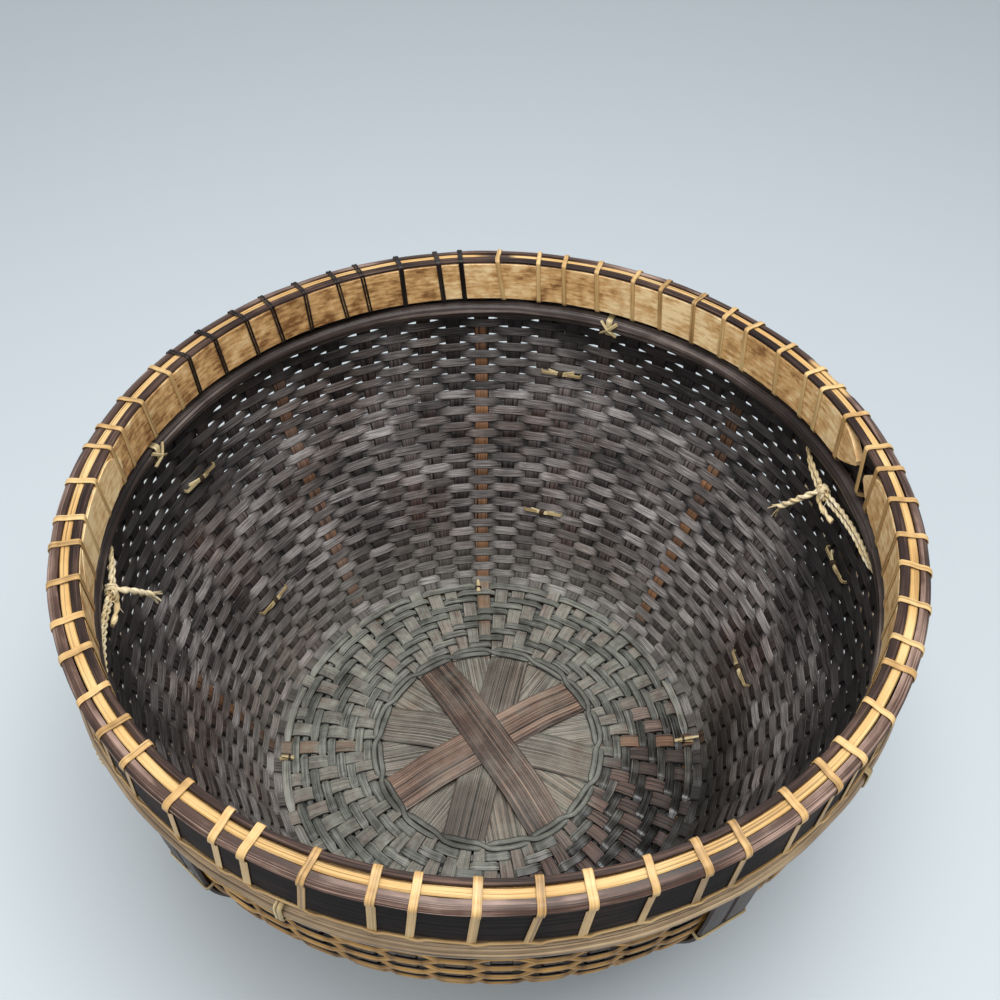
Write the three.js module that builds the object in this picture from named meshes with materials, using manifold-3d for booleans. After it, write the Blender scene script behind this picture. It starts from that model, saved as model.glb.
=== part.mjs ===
// A round woven bamboo basket with a lashed rim, outer ribs and two cord handles.
// Millimetres, +Z up, origin at the centre of the plane that it stands on.
import * as THREE from 'three';
import { mergeVertices } from 'three/addons/utils/BufferGeometryUtils.js';
import Module from 'manifold-3d';

const wasm = await Module();
wasm.setup();

// Fits
const clearance = 0.3;
const ringFacets = 48;

// Foot hoop and woven base
const footHeight = 7;
const footWidth = 8;
const footInset = 3.5;
const footChamfer = 1.5;
const baseRadius = 139;
const baseThickness = 5;

// Crossed strips and the twined ring that binds them
const stripCount = 8;
const stripWidth = 27;
const stripThickness = 0.9;
const stripLay = 0.55;
const bindingRadius = 76;
const strandDiameter = 2.3;
const strandTwist = 1.3;
const strandRise = 1.6;

// Woven wall, given by its inner face
const wallThickness = 5;
const cornerReach = 8;
const cornerRise = 6.7;
const mouthRadius = 211;
const wallTop = 250;
const bellySwell = 1;
const bellyDrop = 41;
const shoulderInset = 2;
const shoulderDrop = 89;
// The rounds are thin where they cross between two stakes, which leaves a flute on both faces
const stakeCount = 64;
const fluteDepth = 1.4;

// Rim
const innerHoopThickness = 4.5;
const innerHoopHeight = 27.5;
const innerHoopLift = 6.5;
const outerBandThickness = 3.5;
const outerBandHeight = 24.2;
const outerBandLift = 2.2;
const coreStripWidth = 4.4;
const coreStripHeight = 7.2;
const innerStripWidth = 4.8;
const innerStripHeight = 2;
const outerStripWidth = 5.5;
const outerStripHeight = 5.5;
const lashingCount = 60;
const lashingWidth = 3;
const lashingThickness = 0.9;
const lashingSlant = 0.1;
const lashingGap = 2.1;
const darkLashingFrom = 94;
const darkLashingTo = 152;
const stitchSize = 1.4;

// Pair of hoops below the rim
const lowerHoopGap = 5.5;
const lowerHoopThickness = 5.6;
const lowerHoopHeight = 11.5;
const outerHoopThickness = 6;
const outerHoopHeight = 9;
const hoopTieAngles = [69, 162.2, 248, 322];
const hoopTieWidth = 4;
const hoopTieThickness = 0.9;
const hoopKnotLength = 10;
const hoopKnotWidth = 2;
const hoopKnotThickness = 1.8;
const hoopKnotLean = 0.6;

// Outer ribs, each a pair of slats tied through the wall
const ribAngles = [9.3, 77.5, 153.5, 230, 301];
const slatWidth = 12.4;
const slatThickness = 2;
const slatSpacing = 2;
const slatGap = 0.45;
const slatBottom = 12.5;
const ribTieHeights = [167, 66];
const ribTieWidth = 2.4;
const ribTieThickness = 1;
const ribToggleLength = 18;
const ribToggleRadius = 1.3;

// Ties of the foot hoop
const footTieAngles = [2, 94.6, 187, 278];
const footTieWidth = 3;
const footTieThickness = 0.9;
const footToggleLength = 11;
const footToggleWidth = 2;
const footToggleThickness = 1.6;
const footToggleOffset = 1.5;

// Cord handles: an angle from the knot in degrees, a radius and a height for each point
const cordDiameter = 3;
const cordSides = 8;
const cordStep = 9;
const cordHoleClearance = 0.4;
const rightKnotAngle = 17.8;
const leftKnotAngle = 187;
const knotRadius = 206.8;
const knotHeight = 199.5;
const knotHalf = { radial: 4, tangent: 6, up: 4.6 };
const outerLoop = [
  [1.66, 207.2, 201.6], [3.8, 207.9, 204.2], [5.6, 208.7, 206.6], [7.2, 210.4, 208.3],
  [8.7, 213.6, 209.1], [10.2, 217.4, 209.2], [11.8, 220.7, 208.2], [13.2, 222.4, 205.2],
  [14, 222.8, 200.4], [14.2, 222.7, 194], [13.6, 222.6, 186], [12.2, 222.5, 177.5],
  [9.9, 222.4, 168], [6.6, 222.3, 158.8], [2.4, 222.3, 151.2], [-2.2, 222.3, 147],
  [-7, 222.4, 146], [-11.8, 222.4, 148], [-16.2, 222.4, 153], [-20, 222.4, 160.6],
  [-22.9, 222.4, 170], [-24.9, 222.5, 180], [-25.9, 222.7, 190], [-26, 222.8, 198.5],
  [-25.2, 222.4, 204.4], [-23.9, 220.7, 208], [-22.3, 217.4, 209.6], [-20.8, 213.6, 209.8],
  [-19.3, 210.6, 209.5], [-17.4, 208.9, 208.9], [-14, 208.5, 207.6], [-10.4, 208.3, 206],
  [-6.8, 208, 204.1], [-3.8, 207.6, 202.4], [-1.66, 207.2, 201.4]];
const innerLoop = [
  [1.9, 207, 197.6], [3.5, 207.6, 199.6], [5, 208.4, 202], [6.3, 210, 203.9],
  [7.7, 213.1, 205], [9.1, 216.7, 205.2], [10.6, 220, 204.4], [11.9, 221.9, 201.8],
  [12.6, 222.4, 197.4], [12.7, 222.4, 191.4], [12.1, 222.4, 184], [10.8, 222.4, 176.4],
  [8.4, 222.3, 168.4], [5.3, 222.3, 161], [1.6, 222.3, 155.2], [-2.5, 222.3, 151.8],
  [-7, 222.4, 151], [-11.4, 222.4, 152.4], [-15.3, 222.4, 156.6], [-18.8, 222.4, 163.2],
  [-21.6, 222.4, 171.6], [-23.5, 222.4, 180.8], [-24.4, 222.4, 189.6], [-24.4, 222.4, 196.4],
  [-23.6, 221.8, 201.2], [-22.3, 219.8, 204.3], [-20.8, 216.4, 205.6], [-19.4, 212.8, 205.8],
  [-17.9, 210.2, 205.4], [-16, 208.7, 204.8], [-12.6, 208.3, 203.4], [-9.2, 208, 201.8],
  [-5.8, 207.6, 199.8], [-3.6, 207.2, 198.4], [-1.9, 207, 197.4]];
const knotTail = [
  [0.4, 205.4, 199.5], [0.9, 200.6, 195.8], [1.9, 197, 190], [3.2, 194.6, 182.8], [4.7, 192.2, 175]];
const knotStub = [
  [0.2, 205.2, 197.6], [-0.5, 204.6, 193.6], [-2.4, 204.8, 191.8], [-4.8, 206.2, 191.3]];

// Heights and radii that follow from the sizes above
const footRadius = baseRadius - footInset;
const baseBottom = footHeight + clearance;
const baseTop = baseBottom + baseThickness;
const wallStart = baseRadius + clearance;
const cornerRadius = baseRadius + cornerReach;
const cornerHeight = baseTop + cornerRise;
const shoulderHeight = wallTop - shoulderDrop;
const shoulderRadius = mouthRadius - shoulderInset;
const bellyHeight = wallTop - bellyDrop;
const bellyRadius = mouthRadius + bellySwell;
const innerHoopTop = wallTop + innerHoopLift;
const innerHoopBottom = innerHoopTop - innerHoopHeight;
const outerBandTop = wallTop + outerBandLift;
const outerBandBottom = outerBandTop - outerBandHeight;
const innerStripTop = innerHoopTop + clearance + innerStripHeight;
const outerStripBottom = outerBandTop + clearance;
const outerStripTop = outerStripBottom + outerStripHeight;
const lowerHoopTop = innerHoopBottom - lowerHoopGap;
const lowerHoopBottom = lowerHoopTop - lowerHoopHeight;
const outerHoopBottom = lowerHoopBottom + (lowerHoopHeight - outerHoopHeight) / 4;
const outerHoopTop = outerHoopBottom + outerHoopHeight;
const slatTop = outerHoopBottom - clearance;

const wallInnerPoints = [
  [cornerRadius, cornerHeight],
  [shoulderRadius, shoulderHeight],
  [bellyRadius, bellyHeight],
  [mouthRadius, wallTop]];

// Radius of the wall's inner face at a height
function wallInner(height) {
  const points = wallInnerPoints;
  let index = 0;
  while (index < points.length - 2 && height > points[index + 1][1]) index += 1;
  const [r0, z0] = points[index];
  const [r1, z1] = points[index + 1];
  return r0 + (r1 - r0) * (height - z0) / (z1 - z0);
}

function wallOuter(height) {
  return wallInner(height) + wallThickness;
}

// Radius at which a hoop between two heights seats on the wall
function seatOutside(low, high) {
  return Math.max(wallOuter(low), wallOuter(high)) + clearance;
}

function seatInside(low, high) {
  return Math.min(wallInner(low), wallInner(high)) - clearance;
}

// Furthest that a straight piece can lie out inside a turned face, which has flat facets
function insideOf(radius) {
  return radius * Math.cos(Math.PI / ringFacets) - clearance;
}

// Materials
const finish = (color, roughness) => new THREE.MeshStandardMaterial({ color, roughness, metalness: 0 });
const materials = {
  strip: finish(0x5b4a3e, 0.7),
  strand: finish(0x55534a, 0.8),
  baseWeave: finish(0x5d5c50, 0.85),
  wallWeave: finish(0x3d3733, 0.6),
  tanHoop: finish(0xb08a4e, 0.6),
  blackBand: finish(0x2a2422, 0.55),
  lightStrip: finish(0xe0b66a, 0.6),
  darkStrip: finish(0x4d392f, 0.5),
  tanLashing: finish(0xcfa45a, 0.6),
  darkLashing: finish(0x1f1a18, 0.5),
  darkHoop: finish(0x3a3130, 0.5),
  footHoop: finish(0x6a5138, 0.7),
  rib: finish(0x35312f, 0.6),
  tie: finish(0xb99a5c, 0.7),
  cord: finish(0xd8bd84, 0.9),
};

const basket = new THREE.Group();

function addPiece(name, geometry, material) {
  const mesh = new THREE.Mesh(geometry, material);
  mesh.name = name;
  basket.add(mesh);
  return mesh;
}

// Positions alone, with shared corners merged and the faces turned outwards
function closed(geometry) {
  const bare = geometry.clone();
  for (const name of Object.keys(bare.attributes)) {
    if (name !== 'position') bare.deleteAttribute(name);
  }
  bare.clearGroups();
  const merged = mergeVertices(bare, 1e-4);
  const index = merged.index.array;
  const at = merged.attributes.position;
  const corner = (i) => new THREE.Vector3().fromBufferAttribute(at, i);
  const kept = [];
  let volume = 0;
  for (let i = 0; i < index.length; i += 3) {
    const [a, b, c] = [index[i], index[i + 1], index[i + 2]];
    if (a === b || b === c || c === a) continue;
    kept.push(a, b, c);
    volume += corner(a).dot(corner(b).cross(corner(c)));
  }
  if (volume < 0) {
    for (let i = 0; i < kept.length; i += 3) [kept[i], kept[i + 1]] = [kept[i + 1], kept[i]];
  }
  merged.setIndex(kept);
  return merged;
}

function toSolid(geometry) {
  const shape = closed(geometry);
  return new wasm.Manifold(new wasm.Mesh({
    numProp: 3,
    vertProperties: new Float32Array(shape.attributes.position.array),
    triVerts: new Uint32Array(shape.index.array),
  }));
}

function toGeometry(solid) {
  const mesh = solid.getMesh();
  const geometry = new THREE.BufferGeometry();
  geometry.setAttribute('position', new THREE.BufferAttribute(mesh.vertProperties, 3));
  geometry.setIndex(new THREE.BufferAttribute(mesh.triVerts, 1));
  return geometry;
}

function join(geometries) {
  return toGeometry(geometries.map(toSolid).reduce((sum, next) => sum.add(next)));
}

function cut(geometry, tools) {
  return toGeometry(tools.map(toSolid).reduce((left, tool) => left.subtract(tool), toSolid(geometry)));
}

// A closed outline of [radius, height] points turned about the basket's axis
function turned(outline) {
  const points = [...outline, outline[0]].map(([r, z]) => new THREE.Vector2(r, z));
  return closed(new THREE.LatheGeometry(points, ringFacets).rotateX(Math.PI / 2));
}

// Turned, with a flute between each two stakes, from an outline of [radius, height, flute depth] points.
// Its ridges keep to the flat facets of the hoops that lie against it.
function fluted(outline) {
  const ring = [...outline, outline[0]];
  const steps = 2 * stakeCount;
  const facet = 2 * Math.PI / ringFacets;
  const points = ring.map(([radius, height]) => new THREE.Vector2(radius, height));
  const geometry = new THREE.LatheGeometry(points, steps);
  const at = geometry.attributes.position;
  for (let i = 0; i < at.count; i += 1) {
    const turn = Math.floor(i / ring.length);
    const angle = turn * 2 * Math.PI / steps;
    const [radius, height, depth] = ring[i % ring.length];
    const onFacet = Math.cos(facet / 2) / Math.cos(angle % facet - facet / 2);
    const reach = depth === 0 ? radius : radius * onFacet + (turn % 2 === 0 ? depth : 0);
    at.setXYZ(i, reach * Math.sin(angle), height, reach * Math.cos(angle));
  }
  return closed(geometry.rotateX(Math.PI / 2));
}

function box(rLow, rHigh, zLow, zHigh) {
  return [[rLow, zLow], [rHigh, zLow], [rHigh, zHigh], [rLow, zHigh]];
}

// A half-round hoop: flat against the wall at seat, rounded on the side that depth points to
function halfRound(seat, depth, low, high) {
  const rise = high - low;
  return [
    [seat, low], [seat + 0.6 * depth, low], [seat + depth, low + 0.35 * rise],
    [seat + depth, high - 0.35 * rise], [seat + 0.6 * depth, high], [seat, high]];
}

// Moves each side of a closed outline outwards, which runs anticlockwise
function grown(outline, distance) {
  const count = outline.length;
  return outline.map(([x, y], i) => {
    const [px, py] = outline[(i + count - 1) % count];
    const [nx, ny] = outline[(i + 1) % count];
    const before = new THREE.Vector2(y - py, px - x).normalize();
    const after = new THREE.Vector2(ny - y, x - nx).normalize();
    const middle = before.clone().add(after);
    const reach = 2 * distance / middle.lengthSq();
    return [x + middle.x * reach, y + middle.y * reach];
  });
}

// A flat band bent into a closed loop in the plane of its outline, centred on that plane
function loop(outline, thickness, width, spare = 0) {
  const shape = new THREE.Shape(grown(outline, thickness + spare).map(([x, y]) => new THREE.Vector2(x, y)));
  const inside = grown(outline, -spare).map(([x, y]) => new THREE.Vector2(x, y));
  shape.holes.push(new THREE.Path(inside.reverse()));
  const depth = width + 2 * spare;
  return new THREE.ExtrudeGeometry(shape, { depth, bevelEnabled: false }).translate(0, 0, -depth / 2);
}

// Stands a loop drawn in [radius, height] upright, at an angle round the basket
function atAngle(geometry, degrees) {
  return geometry.rotateX(Math.PI / 2).rotateZ(THREE.MathUtils.degToRad(degrees));
}

function pointAt(degrees, radius, height) {
  const angle = THREE.MathUtils.degToRad(degrees);
  return new THREE.Vector3(radius * Math.cos(angle), radius * Math.sin(angle), height);
}

function tube(points, diameter) {
  const path = new THREE.CatmullRomCurve3(points, false, 'centripetal');
  const steps = Math.max(2, Math.ceil(path.getLength() / cordStep));
  const section = new THREE.Shape();
  for (let side = 0; side < cordSides; side += 1) {
    const turn = 2 * Math.PI * side / cordSides;
    const spot = [diameter / 2 * Math.cos(turn), diameter / 2 * Math.sin(turn)];
    if (side === 0) section.moveTo(...spot);
    else section.lineTo(...spot);
  }
  return new THREE.ExtrudeGeometry(section, { steps, extrudePath: path, bevelEnabled: false });
}

// Crossed strips: stacked over the centre, and laid closer together towards the ring
const stackOrder = [8, 4, 6, 3, 7, 1, 5, 2];
const topStripAngle = 123.75;

const stripReach = bindingRadius - strandTwist - strandDiameter / 2 - clearance;

function crossedStrip(level) {
  const overlap = stripWidth / 2 / Math.sin(Math.PI / stripCount) + 2;
  const layer = (level - 1) * (stripThickness + clearance);
  const low = baseBottom + clearance;
  const middle = low + layer;
  const end = low + stripLay * layer;
  const outline = new THREE.Shape([
    [-stripReach, end], [-overlap, middle], [overlap, middle], [stripReach, end],
    [stripReach, end + stripThickness], [overlap, middle + stripThickness],
    [-overlap, middle + stripThickness], [-stripReach, end + stripThickness],
  ].map(([x, y]) => new THREE.Vector2(x, y)));
  return new THREE.ExtrudeGeometry(outline, { depth: stripWidth, bevelEnabled: false })
    .translate(0, 0, -stripWidth / 2);
}

// Round ends that follow the ring
const stripBound = toSolid(new THREE.CylinderGeometry(stripReach, stripReach, 2 * wallTop, ringFacets)
  .rotateX(Math.PI / 2));

stackOrder.slice(0, stripCount).forEach((level, i) => {
  const angle = topStripAngle + 180 * i / stripCount;
  const strip = toSolid(atAngle(crossedStrip(level), angle)).intersect(stripBound);
  addPiece(`base_strip_${i + 1}`, toGeometry(strip), materials.strip);
});

// Two strands twined round the ends of the strips, one turn for each pair of arms
function bindingStrand(phase) {
  const middle = baseBottom + baseThickness / 2;
  const steps = stripCount * 8;
  const sides = 5;
  const positions = [];
  const faces = [];
  for (let step = 0; step < steps; step += 1) {
    const around = 2 * Math.PI * step / steps;
    const twist = stripCount * around + phase;
    const radius = bindingRadius + strandTwist * Math.sin(twist);
    const height = middle + strandRise * Math.cos(twist);
    for (let side = 0; side < sides; side += 1) {
      const turn = 2 * Math.PI * side / sides;
      const r = radius + strandDiameter / 2 * Math.cos(turn);
      const z = height + strandDiameter / 2 * Math.sin(turn);
      positions.push(r * Math.cos(around), r * Math.sin(around), z);
      const [here, next] = [step * sides, (step + 1) % steps * sides];
      const [a, b] = [side, (side + 1) % sides];
      faces.push(here + a, next + a, next + b, here + a, next + b, here + b);
    }
  }
  const geometry = new THREE.BufferGeometry();
  geometry.setAttribute('position', new THREE.Float32BufferAttribute(positions, 3));
  geometry.setIndex(faces);
  return closed(geometry);
}

addPiece('binding_strand_1', bindingStrand(0), materials.strand);
addPiece('binding_strand_2', bindingStrand(Math.PI), materials.strand);

// Loops of the rim's lashing, and the ties, as outlines that their passages are cut from too
const innerHoopOuter = seatInside(innerHoopBottom, wallTop);
const innerHoopInner = innerHoopOuter - innerHoopThickness;
const outerBandInner = seatOutside(outerBandBottom, wallTop);
const outerBandOuter = outerBandInner + outerBandThickness;
const outerStripInner = wallOuter(wallTop) + clearance;
const outerStripOuter = outerStripInner + outerStripWidth;
const lashingFoot = outerBandBottom - lashingGap;
const lashingHead = innerStripTop + clearance;
const lashingOutside = Math.max(outerStripOuter, outerBandOuter) + clearance;
const lashingInside = insideOf(innerHoopInner);
const lashingOutline = [
  [lashingInside, lashingFoot],
  [outerBandOuter + clearance, lashingFoot],
  [lashingOutside, outerStripTop - 0.2 * outerStripHeight],
  [outerStripInner + 0.6 * outerStripWidth, lashingHead],
  [lashingInside, lashingHead]];

// Uneven spacing by hand, kept within a fifth of a step
function lashingAngle(index) {
  const step = 360 / lashingCount;
  return step * (index + 0.13 * Math.sin(2.1 * index) + 0.07 * Math.sin(4.7 * index + 1));
}

function lashing(index, spare = 0) {
  const geometry = loop(lashingOutline, lashingThickness, lashingWidth, spare);
  const lean = new THREE.Matrix4().set(
    1, 0, 0, 0,
    0, 1, 0, 0,
    0, -lashingSlant, 1, lashingSlant * lashingHead,
    0, 0, 0, 1);
  return atAngle(geometry.applyMatrix4(lean), lashingAngle(index));
}

const lashingIndices = [...Array(lashingCount).keys()];
const isDark = (index) => lashingAngle(index) > darkLashingFrom && lashingAngle(index) < darkLashingTo;

// The stitch that leads from each turn of the lashing to the next, under the outer band
const stitchLow = lashingFoot - 0.5 * lashingThickness;
const stitchInner = seatOutside(stitchLow, stitchLow + stitchSize);
const stitchRing = turned(box(stitchInner, stitchInner + stitchSize, stitchLow, stitchLow + stitchSize));

function wedge(from, to, spare) {
  const reach = 2 * mouthRadius;
  const shape = new THREE.Shape();
  shape.moveTo(0, 0);
  for (const degrees of [from - spare, (from + to) / 2, to + spare]) {
    const { x, y } = pointAt(degrees, reach, 0);
    shape.lineTo(x, y);
  }
  return new THREE.ExtrudeGeometry(shape, { depth: 2 * wallTop, bevelEnabled: false });
}

// One length of splint: its turns round the rim and the stitches between them
function lashingRun(indices, stitches) {
  return toGeometry(indices.reduce((run, index) => run.add(toSolid(lashing(index))), stitches));
}

const lowerHoopOuter = seatInside(lowerHoopBottom, lowerHoopTop);
const lowerHoopInner = lowerHoopOuter - lowerHoopThickness;
const outerHoopInner = seatOutside(outerHoopBottom, outerHoopTop);
const outerHoopOuter = outerHoopInner + outerHoopThickness;
const hoopTieInside = insideOf(lowerHoopInner);
const hoopTieOutline = box(
  hoopTieInside, outerHoopOuter + clearance,
  lowerHoopBottom - clearance, lowerHoopTop + clearance);

function hoopTie(degrees, spare = 0) {
  return atAngle(loop(hoopTieOutline, hoopTieThickness, hoopTieWidth, spare), degrees);
}

// A crossing knot on the inner face of a hoop tie
function hoopKnot(degrees) {
  const middle = hoopTieInside - hoopTieThickness - 0.22 * hoopKnotThickness;
  const arm = (lean) => new THREE.BoxGeometry(hoopKnotThickness, hoopKnotLength, hoopKnotWidth)
    .rotateX(lean)
    .translate(middle, 0, (lowerHoopBottom + lowerHoopTop) / 2)
    .rotateZ(THREE.MathUtils.degToRad(degrees));
  return [arm(hoopKnotLean), arm(-hoopKnotLean)];
}

// A rib's two slats lie side by side, so a tie reaches round both
const ribHalfWidth = slatSpacing / 2 + slatWidth;
const ribTieInside = wallThickness + 0.9;

function ribTieOutline(lean) {
  const outside = (slatGap + slatThickness) * Math.cos(lean) + clearance;
  return [
    [-ribHalfWidth - clearance, -ribTieInside], [ribHalfWidth + clearance, -ribTieInside],
    [ribHalfWidth + clearance, outside], [-ribHalfWidth - clearance, outside]];
}

// Stands a tie drawn in [along the wall's round, out of the wall] square to the wall at a height
function onWall(geometry, degrees, height, lean) {
  const out = new THREE.Vector3(Math.cos(lean), 0, -Math.sin(lean));
  const round = new THREE.Vector3(0, 1, 0);
  const up = new THREE.Vector3().crossVectors(round, out);
  geometry.applyMatrix4(new THREE.Matrix4().makeBasis(round, out, up));
  geometry.translate(wallOuter(height), 0, height);
  return geometry.rotateZ(THREE.MathUtils.degToRad(degrees));
}

function wallLean(height) {
  return Math.atan(wallInner(height + 1) - wallInner(height));
}

function ribTie(degrees, height, spare = 0) {
  const lean = wallLean(height);
  return onWall(loop(ribTieOutline(lean), ribTieThickness, ribTieWidth, spare), degrees, height, lean);
}

function ribToggle(degrees, height) {
  const peg = new THREE.CylinderGeometry(ribToggleRadius, ribToggleRadius, ribToggleLength, 6)
    .rotateZ(Math.PI / 2)
    .translate(0, -ribTieInside - ribTieThickness - 0.7 * ribToggleRadius, 0);
  return onWall(peg, degrees, height, wallLean(height));
}

const footInner = footRadius - footWidth / 2;
const footOuter = footRadius + footWidth / 2;
const footTieLow = footTieThickness + 0.25;
const footTieOutline = box(insideOf(footInner), footOuter + clearance, footTieLow, baseTop + clearance);

function footTie(degrees, spare = 0) {
  return atAngle(loop(footTieOutline, footTieThickness, footTieWidth, spare), degrees);
}

function footToggle(degrees) {
  const middle = baseTop + clearance + footTieThickness + 0.3 * footToggleThickness;
  return new THREE.BoxGeometry(footToggleWidth, footToggleLength, footToggleThickness)
    .translate(footRadius - footToggleOffset, 0, middle)
    .rotateZ(THREE.MathUtils.degToRad(degrees));
}

const ribTieSeats = ribAngles.flatMap((angle) => ribTieHeights.map((height) => [angle, height]));

// Handle cords: the same route on both sides, mirrored about the knot
const handles = [
  { side: 'right', knot: rightKnotAngle, turn: 1 },
  { side: 'left', knot: leftKnotAngle, turn: -1 }];

function handlePoints({ knot, turn }, route) {
  return route.map(([degrees, radius, height]) => pointAt(knot + turn * degrees, radius, height));
}

const cordHoles = handles.flatMap((handle) => [outerLoop, innerLoop].map(
  (route) => tube(handlePoints(handle, route), cordDiameter + 2 * cordHoleClearance)));

// Base annulus, wall and foot hoop with the passages of the ties, lashings and cords
const footTieTools = footTieAngles.map((angle) => footTie(angle, clearance));
const bindingOutside = bindingRadius + strandTwist + strandDiameter / 2 + clearance;
addPiece('base_weave', cut(
  turned(box(bindingOutside, baseRadius, baseBottom, baseTop)), footTieTools), materials.baseWeave);

const wallOuterPoints = wallInnerPoints.map(([radius, height]) => [radius + wallThickness, height]);
const wallOutline = [
  [wallStart, baseTop, 0],
  ...wallInnerPoints.map((point) => [...point, fluteDepth]),
  ...wallOuterPoints.map((point) => [...point, -fluteDepth]).reverse(),
  [cornerRadius + 0.1 * wallThickness, baseBottom + 0.4 * wallThickness, 0],
  [wallStart, baseBottom, 0]];
addPiece('wall_weave', cut(fluted(wallOutline), [
  ...footTieTools,
  ...ribTieSeats.map(([angle, height]) => ribTie(angle, height, clearance)),
  ...hoopTieAngles.map((angle) => hoopTie(angle, clearance)),
  ...lashingIndices.map((index) => lashing(index, clearance)),
  ...cordHoles]), materials.wallWeave);

addPiece('foot_hoop', cut(turned([
  [footInner + footChamfer, 0], [footOuter - footChamfer, 0], [footOuter, footChamfer],
  [footOuter, footHeight], [footInner, footHeight], [footInner, footChamfer]]),
footTieTools), materials.footHoop);

// Rim
addPiece('inner_hoop', turned(
  box(innerHoopInner, innerHoopOuter, innerHoopBottom, innerHoopTop)), materials.tanHoop);
addPiece('outer_band', turned(
  box(outerBandInner, outerBandOuter, outerBandBottom, outerBandTop)), materials.blackBand);

const wallMiddle = (wallInner(wallTop) + wallOuter(wallTop)) / 2;
addPiece('rim_core_strip', turned(box(
  wallMiddle - coreStripWidth / 2, wallMiddle + coreStripWidth / 2,
  wallTop + clearance, wallTop + clearance + coreStripHeight)), materials.lightStrip);
addPiece('rim_inner_strip', turned(box(
  innerHoopInner, innerHoopInner + innerStripWidth,
  innerHoopTop + clearance, innerStripTop)), materials.darkStrip);
addPiece('rim_outer_strip', turned([
  [outerStripInner, outerStripBottom],
  [outerStripOuter, outerStripBottom],
  [outerStripOuter, outerStripBottom + 0.5 * outerStripHeight],
  [outerStripInner + 0.56 * outerStripWidth, outerStripTop],
  [outerStripInner, outerStripTop]]), materials.darkStrip);

const darkIndices = lashingIndices.filter(isDark);
const darkEnds = [darkIndices[0], darkIndices[darkIndices.length - 1]].map(lashingAngle);
const lashingStep = 360 / lashingCount;
const darkStitches = toSolid(stitchRing).intersect(toSolid(wedge(...darkEnds, 0.3 * lashingStep)));
const tanStitches = toSolid(stitchRing).subtract(toSolid(wedge(...darkEnds, 0.4 * lashingStep)));
addPiece('lashing_tan',
  lashingRun(lashingIndices.filter((index) => !isDark(index)), tanStitches), materials.tanLashing);
addPiece('lashing_dark', lashingRun(darkIndices, darkStitches), materials.darkLashing);

// Hoops below the rim
addPiece('lower_hoop_inner', turned(
  halfRound(lowerHoopOuter, -lowerHoopThickness, lowerHoopBottom, lowerHoopTop)), materials.darkHoop);
addPiece('lower_hoop_outer', turned(
  halfRound(outerHoopInner, outerHoopThickness, outerHoopBottom, outerHoopTop)), materials.darkHoop);
hoopTieAngles.forEach((angle, i) => {
  addPiece(`hoop_tie_${i + 1}`, join([hoopTie(angle), ...hoopKnot(angle)]), materials.tie);
});

// Ribs
function slat(side) {
  const heights = [slatTop, bellyHeight, shoulderHeight, cornerHeight, slatBottom];
  const inner = heights.map((z) => [wallOuter(z) + slatGap, z]);
  const outer = heights.map((z) => [wallOuter(z) + slatGap + slatThickness, z]).reverse();
  const outline = new THREE.Shape([...inner, ...outer].map(([r, z]) => new THREE.Vector2(r, z)));
  return new THREE.ExtrudeGeometry(outline, { depth: slatWidth, bevelEnabled: false })
    .translate(0, 0, side * (slatSpacing + slatWidth) / 2 - slatWidth / 2);
}

ribAngles.forEach((angle, i) => {
  addPiece(`rib_${i + 1}_slat_a`, closed(atAngle(slat(-1), angle)), materials.rib);
  addPiece(`rib_${i + 1}_slat_b`, closed(atAngle(slat(1), angle)), materials.rib);
});
ribTieSeats.forEach(([angle, height], i) => {
  addPiece(`rib_tie_${i + 1}`, join([ribTie(angle, height), ribToggle(angle, height)]), materials.tie);
});
footTieAngles.forEach((angle, i) => {
  addPiece(`foot_tie_${i + 1}`, join([footTie(angle), footToggle(angle)]), materials.tie);
});

// Handle cords, each strand from knot to knot, and the knots with their cut ends
for (const handle of handles) {
  addPiece(`handle_cord_${handle.side}_1`,
    closed(tube(handlePoints(handle, outerLoop), cordDiameter)), materials.cord);
  addPiece(`handle_cord_${handle.side}_2`,
    closed(tube(handlePoints(handle, innerLoop), cordDiameter)), materials.cord);
  const lump = new THREE.SphereGeometry(1, 10, 7)
    .scale(knotHalf.radial, knotHalf.tangent, knotHalf.up)
    .translate(knotRadius, 0, knotHeight)
    .rotateZ(THREE.MathUtils.degToRad(handle.knot));
  addPiece(`handle_knot_${handle.side}`, join([
    lump,
    tube(handlePoints(handle, knotTail), cordDiameter),
    tube(handlePoints(handle, knotStub), cordDiameter)]), materials.cord);
}

export default basket;
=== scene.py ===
import random
from math import cos, degrees, pi, radians, sin, sqrt, tanh, tau

import bmesh
import bpy
from mathutils import Matrix, Vector, noise


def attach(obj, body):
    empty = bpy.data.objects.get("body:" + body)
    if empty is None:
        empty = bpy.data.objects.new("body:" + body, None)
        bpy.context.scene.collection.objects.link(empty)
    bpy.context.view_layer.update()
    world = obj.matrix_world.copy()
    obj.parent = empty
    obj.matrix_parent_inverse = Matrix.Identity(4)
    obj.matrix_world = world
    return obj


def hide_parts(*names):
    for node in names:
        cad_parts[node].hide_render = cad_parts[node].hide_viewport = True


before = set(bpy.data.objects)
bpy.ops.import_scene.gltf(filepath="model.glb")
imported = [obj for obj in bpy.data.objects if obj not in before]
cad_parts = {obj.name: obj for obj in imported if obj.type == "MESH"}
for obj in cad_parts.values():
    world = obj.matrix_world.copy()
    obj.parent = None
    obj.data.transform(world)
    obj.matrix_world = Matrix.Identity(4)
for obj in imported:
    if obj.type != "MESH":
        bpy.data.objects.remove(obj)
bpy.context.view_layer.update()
random.seed(11)
print("frame loaded")

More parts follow.
